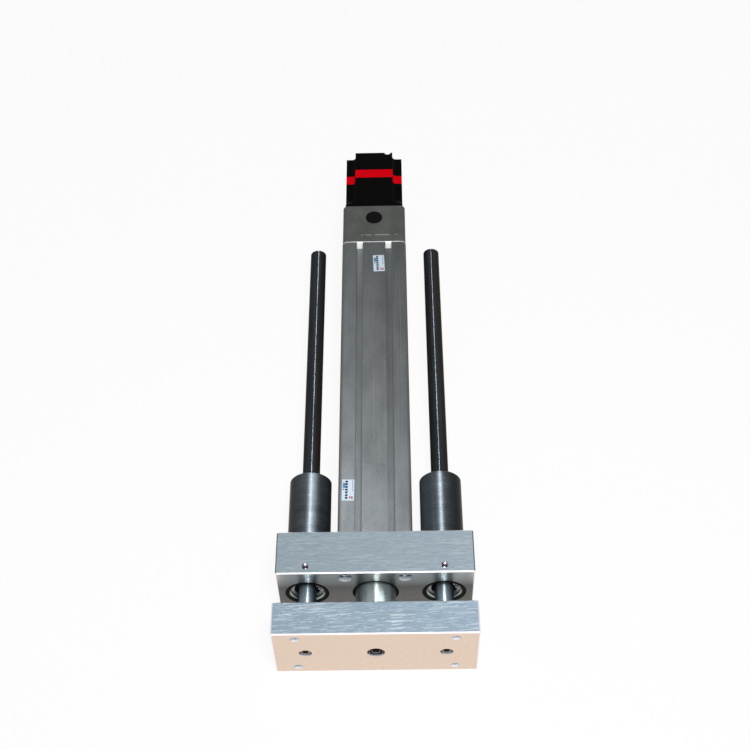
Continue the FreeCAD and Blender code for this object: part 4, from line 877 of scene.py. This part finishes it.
def headless_screws(node, diameter, flats, pitch, look, body):
    """Two detailed set screws in place of a node of plain ones, at the far ends of its box"""
    low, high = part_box(node)
    middle = (low + high) / 2
    reach = (high - low) / 2
    along = Vector((reach.x - diameter / 2, reach.y - diameter / 2, 0))
    places = [(middle.x + i * along.x, middle.y + i * along.y, high.z) for i in (-1, 1)]
    points, faces = placed(headless_screw(diameter, flats, pitch, high.z - low.z), FROM_TOP, places)
    piece = add_mesh(f"{node}_detailed", points, faces, [look], body, smooth=CREASE)
    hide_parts(node)


# Threads of the open tapped holes: pitch, height of the ridge, and radius of the M6 holes
HOLE_PITCH = 1.0 * MM
HOLE_RISE = 0.3 * MM
HOLE_RADIUS = 2.5 * MM
# The payload holes' places from the plate's middle, and how deep their threads start
PAYLOAD_REACH = (66.5 * MM, 25 * MM)
PAYLOAD_SINK = 1.6 * MM
# The holes under the block: places from its middle, top of the thread and its length
BASE_REACH = (50 * MM, 12 * MM)
BASE_TOP = 11.2 * MM
BASE_LENGTH = 10.4 * MM
# The set screws' diameter and holes: radius, how deep the thread starts, and what it leaves free
SET_SCREW_DIAMETER = 6 * MM
SET_RADIUS = 3.05 * MM
SET_SINK = 0.7 * MM
SET_FREE = 1.8 * MM
CORNERS = [(-1, -1), (-1, 1), (1, -1), (1, 1)]


def hole_thread(name, radius, length, lie, places, look, body):
    """Threads on the walls of one kind of tapped hole"""
    points, faces = placed(coil_ridge(radius, HOLE_RISE, HOLE_PITCH, length), lie, places)
    return add_mesh(name, points, faces, [look], body, smooth=CREASE)


def hole_threads():
    """Threads of the tapped holes that stand open; those of the set screw holes are handed back"""
    low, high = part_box("front_plate")
    payload = [(i * PAYLOAD_REACH[0], low.y + PAYLOAD_SINK, AXIS_HEIGHT + k * PAYLOAD_REACH[1])
               for i, k in CORNERS]
    length = high.y - low.y - 1.5 * PAYLOAD_SINK
    hole_thread("payload_hole_threads", HOLE_RADIUS, length, FROM_FRONT, payload, HOLE_WALL, "carriage")
    base = [(i * BASE_REACH[0], k * BASE_REACH[1], BASE_TOP) for i, k in CORNERS]
    hole_thread("base_hole_threads", HOLE_RADIUS, BASE_LENGTH, FROM_TOP, base, INNER, "base")
    low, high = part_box("set_screws")
    block_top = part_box("guide_block")[1].z
    across = high.x - SET_SCREW_DIAMETER / 2
    setting = [(i * across, (low.y + high.y) / 2, block_top - SET_SINK) for i in (-1, 1)]
    length = block_top - high.z - SET_FREE
    return hole_thread("set_screw_hole_threads", SET_RADIUS, length, FROM_TOP, setting,
                       SET_SCREW_WALL, "base")


# The bearing seals' outer radius, and their lips' profile of radius and height in millimetres
SEAL_RADIUS = 11.48 * MM
LIP_PROFILE = [(11.2, 0.0), (11.2, -0.35), (9.7, -0.35), (8.9, -0.9), (8.15, -0.9), (8.15, -0.6),
               (8.6, 0.0)]


def seal_lips():
    """Rubber lips that stand out of the bearing seals towards both ends"""
    low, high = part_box("bearing_seals")
    across = high.x - SEAL_RADIUS
    shape = hoop([(radius * MM, height * MM) for radius, height in LIP_PROFILE])
    points, faces = [], []
    for lie, y in ((FROM_FRONT, low.y), (FROM_REAR, high.y)):
        more = placed(shape, lie, [(x * across, y, AXIS_HEIGHT) for x in (-1, 1)])
        first = len(points)
        points += more[0]
        faces += [tuple(first + corner for corner in face) for face in more[1]]
    add_mesh("bearing_seal_lips", points, faces, [RUBBER], "base", smooth=CREASE)


# The ball screw: lead, track, chamfers of its front and rear ends, radii behind its track, and its mesh
LEAD = 10 * MM
TRACK_DEPTH = 1.1 * MM
TRACK_WIDTH = 4.2 * MM
FRONT_CHAMFER = 1.5 * MM
REAR_CHAMFER = 0.6 * MM
NECK_RADIUS = 7.0 * MM
JOURNAL_RADIUS = 6.0 * MM
TAIL_RADIUS = 5.0 * MM
TRACK_SIDES = 30
RINGS_PER_LEAD = 16
TRACK_CREASE = 30


def ball_screw():
    """The screw with its ball track, which turns right-handed"""
    low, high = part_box("ball_screw")
    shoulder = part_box("screw_bearing_front")[0].y - low.y
    journal_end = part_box("bearing_locknut")[1].y - low.y
    length = high.y - low.y
    tracked = shoulder - 2 * FRONT_CHAMFER
    rings = [ring(0.0, high.x - FRONT_CHAMFER, TRACK_SIDES)]
    steps = int(tracked / LEAD * RINGS_PER_LEAD)
    for step in range(steps + 1):
        height = FRONT_CHAMFER + tracked * step / steps
        track = ball_track(high.x, TRACK_DEPTH, TRACK_WIDTH, LEAD, height)
        rings.append(ring(height, track, TRACK_SIDES))
    for radius, height in ((NECK_RADIUS, shoulder), (JOURNAL_RADIUS, shoulder),
                           (JOURNAL_RADIUS, journal_end), (TAIL_RADIUS, journal_end),
                           (TAIL_RADIUS, length - REAR_CHAMFER), (TAIL_RADIUS - REAR_CHAMFER, length)):
        rings.append(ring(height, radius, TRACK_SIDES))
    points, faces = placed(stack(rings), FROM_FRONT, [(0, low.y, AXIS_HEIGHT)])
    piece = add_mesh("ball_screw_threaded", points, faces, [STEEL], "drive",
                     smooth=TRACK_CREASE)
    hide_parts("ball_screw")


def camera():
    """The camera at the photograph's viewing angle"""
    data = bpy.data.cameras.new("camera")
    data.lens = CAMERA_LENS
    data.sensor_width = SENSOR_WIDTH
    data.clip_start, data.clip_end = CAMERA_CLIP
    item = bpy.data.objects.new("camera", data)
    scene.collection.objects.link(item)
    turn = Matrix.Rotation(math.radians(-CAMERA_YAW), 4, "Z")
    turn = turn @ Matrix.Rotation(math.radians(90 + CAMERA_PITCH), 4, "X")
    turn = turn @ Matrix.Rotation(math.radians(CAMERA_ROLL), 4, "Z")
    item.matrix_world = Matrix.Translation(CAMERA_PLACE) @ turn
    scene.camera = item


def seen_directly(tree):
    """1 for rays from the camera, off gloss and through glass, and 0 for the rest"""
    path = tree.nodes.new("ShaderNodeLightPath")
    seen = path.outputs["Is Camera Ray"]
    for other in ("Is Glossy Ray", "Is Transmission Ray"):
        either = tree.nodes.new("ShaderNodeMath")
        either.operation = "MAXIMUM"
        tree.links.new(seen, either.inputs[0])
        tree.links.new(path.outputs[other], either.inputs[1])
        seen = either.outputs[0]
    return seen


def white_world(ambient):
    """White where it is seen, and a soft even light on the object"""
    world = bpy.data.worlds.new("studio")
    scene.world = world
    world.use_nodes = True
    tree = world.node_tree
    plain = tree.nodes["Background"]
    plain.inputs["Color"].default_value = (1, 1, 1, 1)
    strength = tree.nodes.new("ShaderNodeMapRange")
    strength.inputs["To Min"].default_value = ambient
    strength.inputs["To Max"].default_value = 1.0
    tree.links.new(seen_directly(tree), strength.inputs["Value"])
    tree.links.new(strength.outputs["Result"], plain.inputs["Strength"])


# Metres from the origin over which the floor turns from pale to white
FLOOR_FADE = (0.7, 2.5)
FLOOR_GREY = 0.9


def floor(half_size, drop, glow):
    """A pale floor that looks white but keeps the object's shadow, and turns white far from it"""
    data = bpy.data.meshes.new("floor")
    corners = [(x * half_size, y * half_size) for x, y in ((-1, -1), (1, -1), (1, 1), (-1, 1))]
    data.from_pydata([(x, y, -drop) for x, y in corners], [], [(0, 1, 2, 3)])
    item = bpy.data.objects.new("floor", data)
    scene.collection.objects.link(item)
    material = bpy.data.materials.new("floor")
    material.use_nodes = True
    tree = material.node_tree
    tree.nodes.clear()
    matt = tree.nodes.new("ShaderNodeBsdfDiffuse")
    matt.inputs["Color"].default_value = (FLOOR_GREY, FLOOR_GREY, FLOOR_GREY, 1)
    light = tree.nodes.new("ShaderNodeEmission")
    light.inputs["Strength"].default_value = 1.0
    share = tree.nodes.new("ShaderNodeMath")
    share.operation = "MULTIPLY"
    place = tree.nodes.new("ShaderNodeTexCoord")
    distance = tree.nodes.new("ShaderNodeVectorMath")
    distance.operation = "LENGTH"
    tree.links.new(place.outputs["Object"], distance.inputs[0])
    whiter = tree.nodes.new("ShaderNodeMapRange")
    whiter.inputs["From Min"].default_value = FLOOR_FADE[0]
    whiter.inputs["From Max"].default_value = FLOOR_FADE[1]
    whiter.inputs["To Min"].default_value = glow
    whiter.inputs["To Max"].default_value = 1.0
    tree.links.new(distance.outputs["Value"], whiter.inputs["Value"])
    tree.links.new(whiter.outputs["Result"], share.inputs[1])
    tree.links.new(seen_directly(tree), share.inputs[0])
    mix = tree.nodes.new("ShaderNodeMixShader")
    tree.links.new(share.outputs[0], mix.inputs["Fac"])
    tree.links.new(matt.outputs[0], mix.inputs[1])
    tree.links.new(light.outputs[0], mix.inputs[2])
    end = tree.nodes.new("ShaderNodeOutputMaterial")
    tree.links.new(mix.outputs[0], end.inputs["Surface"])
    data.materials.append(material)


def lamp(name, place, aim, size, power, length=None, only=None, without=None):
    """A round or oblong soft lamp, for the whole scene, for some pieces only, or for all but some"""
    data = bpy.data.lights.new(name, "AREA")
    data.shape = "DISK" if length is None else "RECTANGLE"
    data.size = size
    if length is not None:
        data.size_y = length
    data.energy = power
    item = bpy.data.objects.new(name, data)
    scene.collection.objects.link(item)
    item.location = place
    item.rotation_mode = "QUATERNION"
    item.rotation_quaternion = (Vector(aim) - Vector(place)).to_track_quat("-Z", "Y")
    item.visible_camera = False
    if only is not None:
        lit = bpy.data.collections.new(f"{name}_receivers")
        for piece in only:
            lit.objects.link(piece)
        item.light_linking.receiver_collection = lit
    if without is not None:
        unlit = bpy.data.collections.new(f"{name}_left_out")
        for piece in without:
            unlit.objects.link(piece)
        for link in unlit.collection_objects:
            link.light_linking.link_state = "EXCLUDE"
        item.light_linking.receiver_collection = unlit


dress_nodes()
for screw_node in SCREW_NODES:
    screws(screw_node)
headless_screws("set_screws", diameter=SET_SCREW_DIAMETER, flats=3 * MM, pitch=1.0 * MM, look=SCREW,
                body="base")
headless_screws("coupling_clamp_screws", diameter=4 * MM, flats=2 * MM, pitch=0.7 * MM, look=SCREW,
                body="drive")
set_screw_threads = hole_threads()
seal_lips()
ball_screw()
label("label_front", centre=(-23.6 * MM, 63.5 * MM), width=10.8 * MM, length=22 * MM, turn=-1.0)
label("label_rear", centre=(4.75 * MM, 335.8 * MM), width=11.2 * MM, length=22 * MM, turn=2.2)
scene.view_settings.view_transform = "Standard"
camera()
white_world(ambient=0.25)
floor(half_size=6.0, drop=0.0003, glow=0.92)

BARE_PLATES = [nodes["front_plate"], nodes["guide_block"]]
SLEEVES = [nodes["bearing_sleeve_left"], nodes["bearing_sleeve_right"]]
GUIDE_RODS = [nodes["guide_rod_left"], nodes["guide_rod_right"]]
PISTON_RODS = [nodes["piston_rod"]]
# Where the lamps point that give the sleeves, the guide rods and the piston rod their highlights
SLEEVE_AIM = (0.0, 0.15, 0.03)
ROD_AIM = (0.0, -0.03, 0.05)
STRIP_PLACE = (0.02, 0.90, 1.03)
lamp("flash", (0.14, -0.40, 1.16), (0.0, 0.05, 0.03), size=0.35, power=12.3, without=BARE_PLATES)
lamp("plate_fill", (0.14, -0.72, 1.00), (0.0, -0.05, 0.034), size=0.3, power=7.5, only=BARE_PLATES)
lamp("strip", STRIP_PLACE, SLEEVE_AIM, size=0.03, power=35.0, length=1.2, only=SLEEVES)
lamp("rod_line", STRIP_PLACE, SLEEVE_AIM, size=0.03, power=24.0, length=1.2, only=GUIDE_RODS)
lamp("gap_strip", (0.055, 0.0, 1.20), (0.055, 0.0, 0.05), size=0.12, power=140.0, length=1.6,
     only=GUIDE_RODS)
lamp("rod_strip", (0.03, 0.15, 1.20), ROD_AIM, size=0.03, power=12.0, length=0.9, only=PISTON_RODS)
lamp("rod_sheen", (0.52, 0.50, 1.00), ROD_AIM, size=0.75, power=8.0, length=0.8, only=PISTON_RODS)
lamp("sheen", (0.0, 0.90, 1.00), SLEEVE_AIM, size=0.40, power=12.0, length=1.0, only=SLEEVES)
lamp("left_sheen", (0.34, 0.90, 1.00), SLEEVE_AIM, size=0.50, power=22.0, length=1.0, only=SLEEVES[:1])
lamp("hole_light", (0.0, -0.85, 0.62), (0.0, 0.0, 0.066), size=0.14, power=30.0, length=0.7,
     only=[set_screw_threads])
lamp("front_fill", (0.0, -1.0, 0.35), (0.0, 0.3655, 0.06), size=0.3, power=10.0,
     only=[nodes["bearing_housing"]])
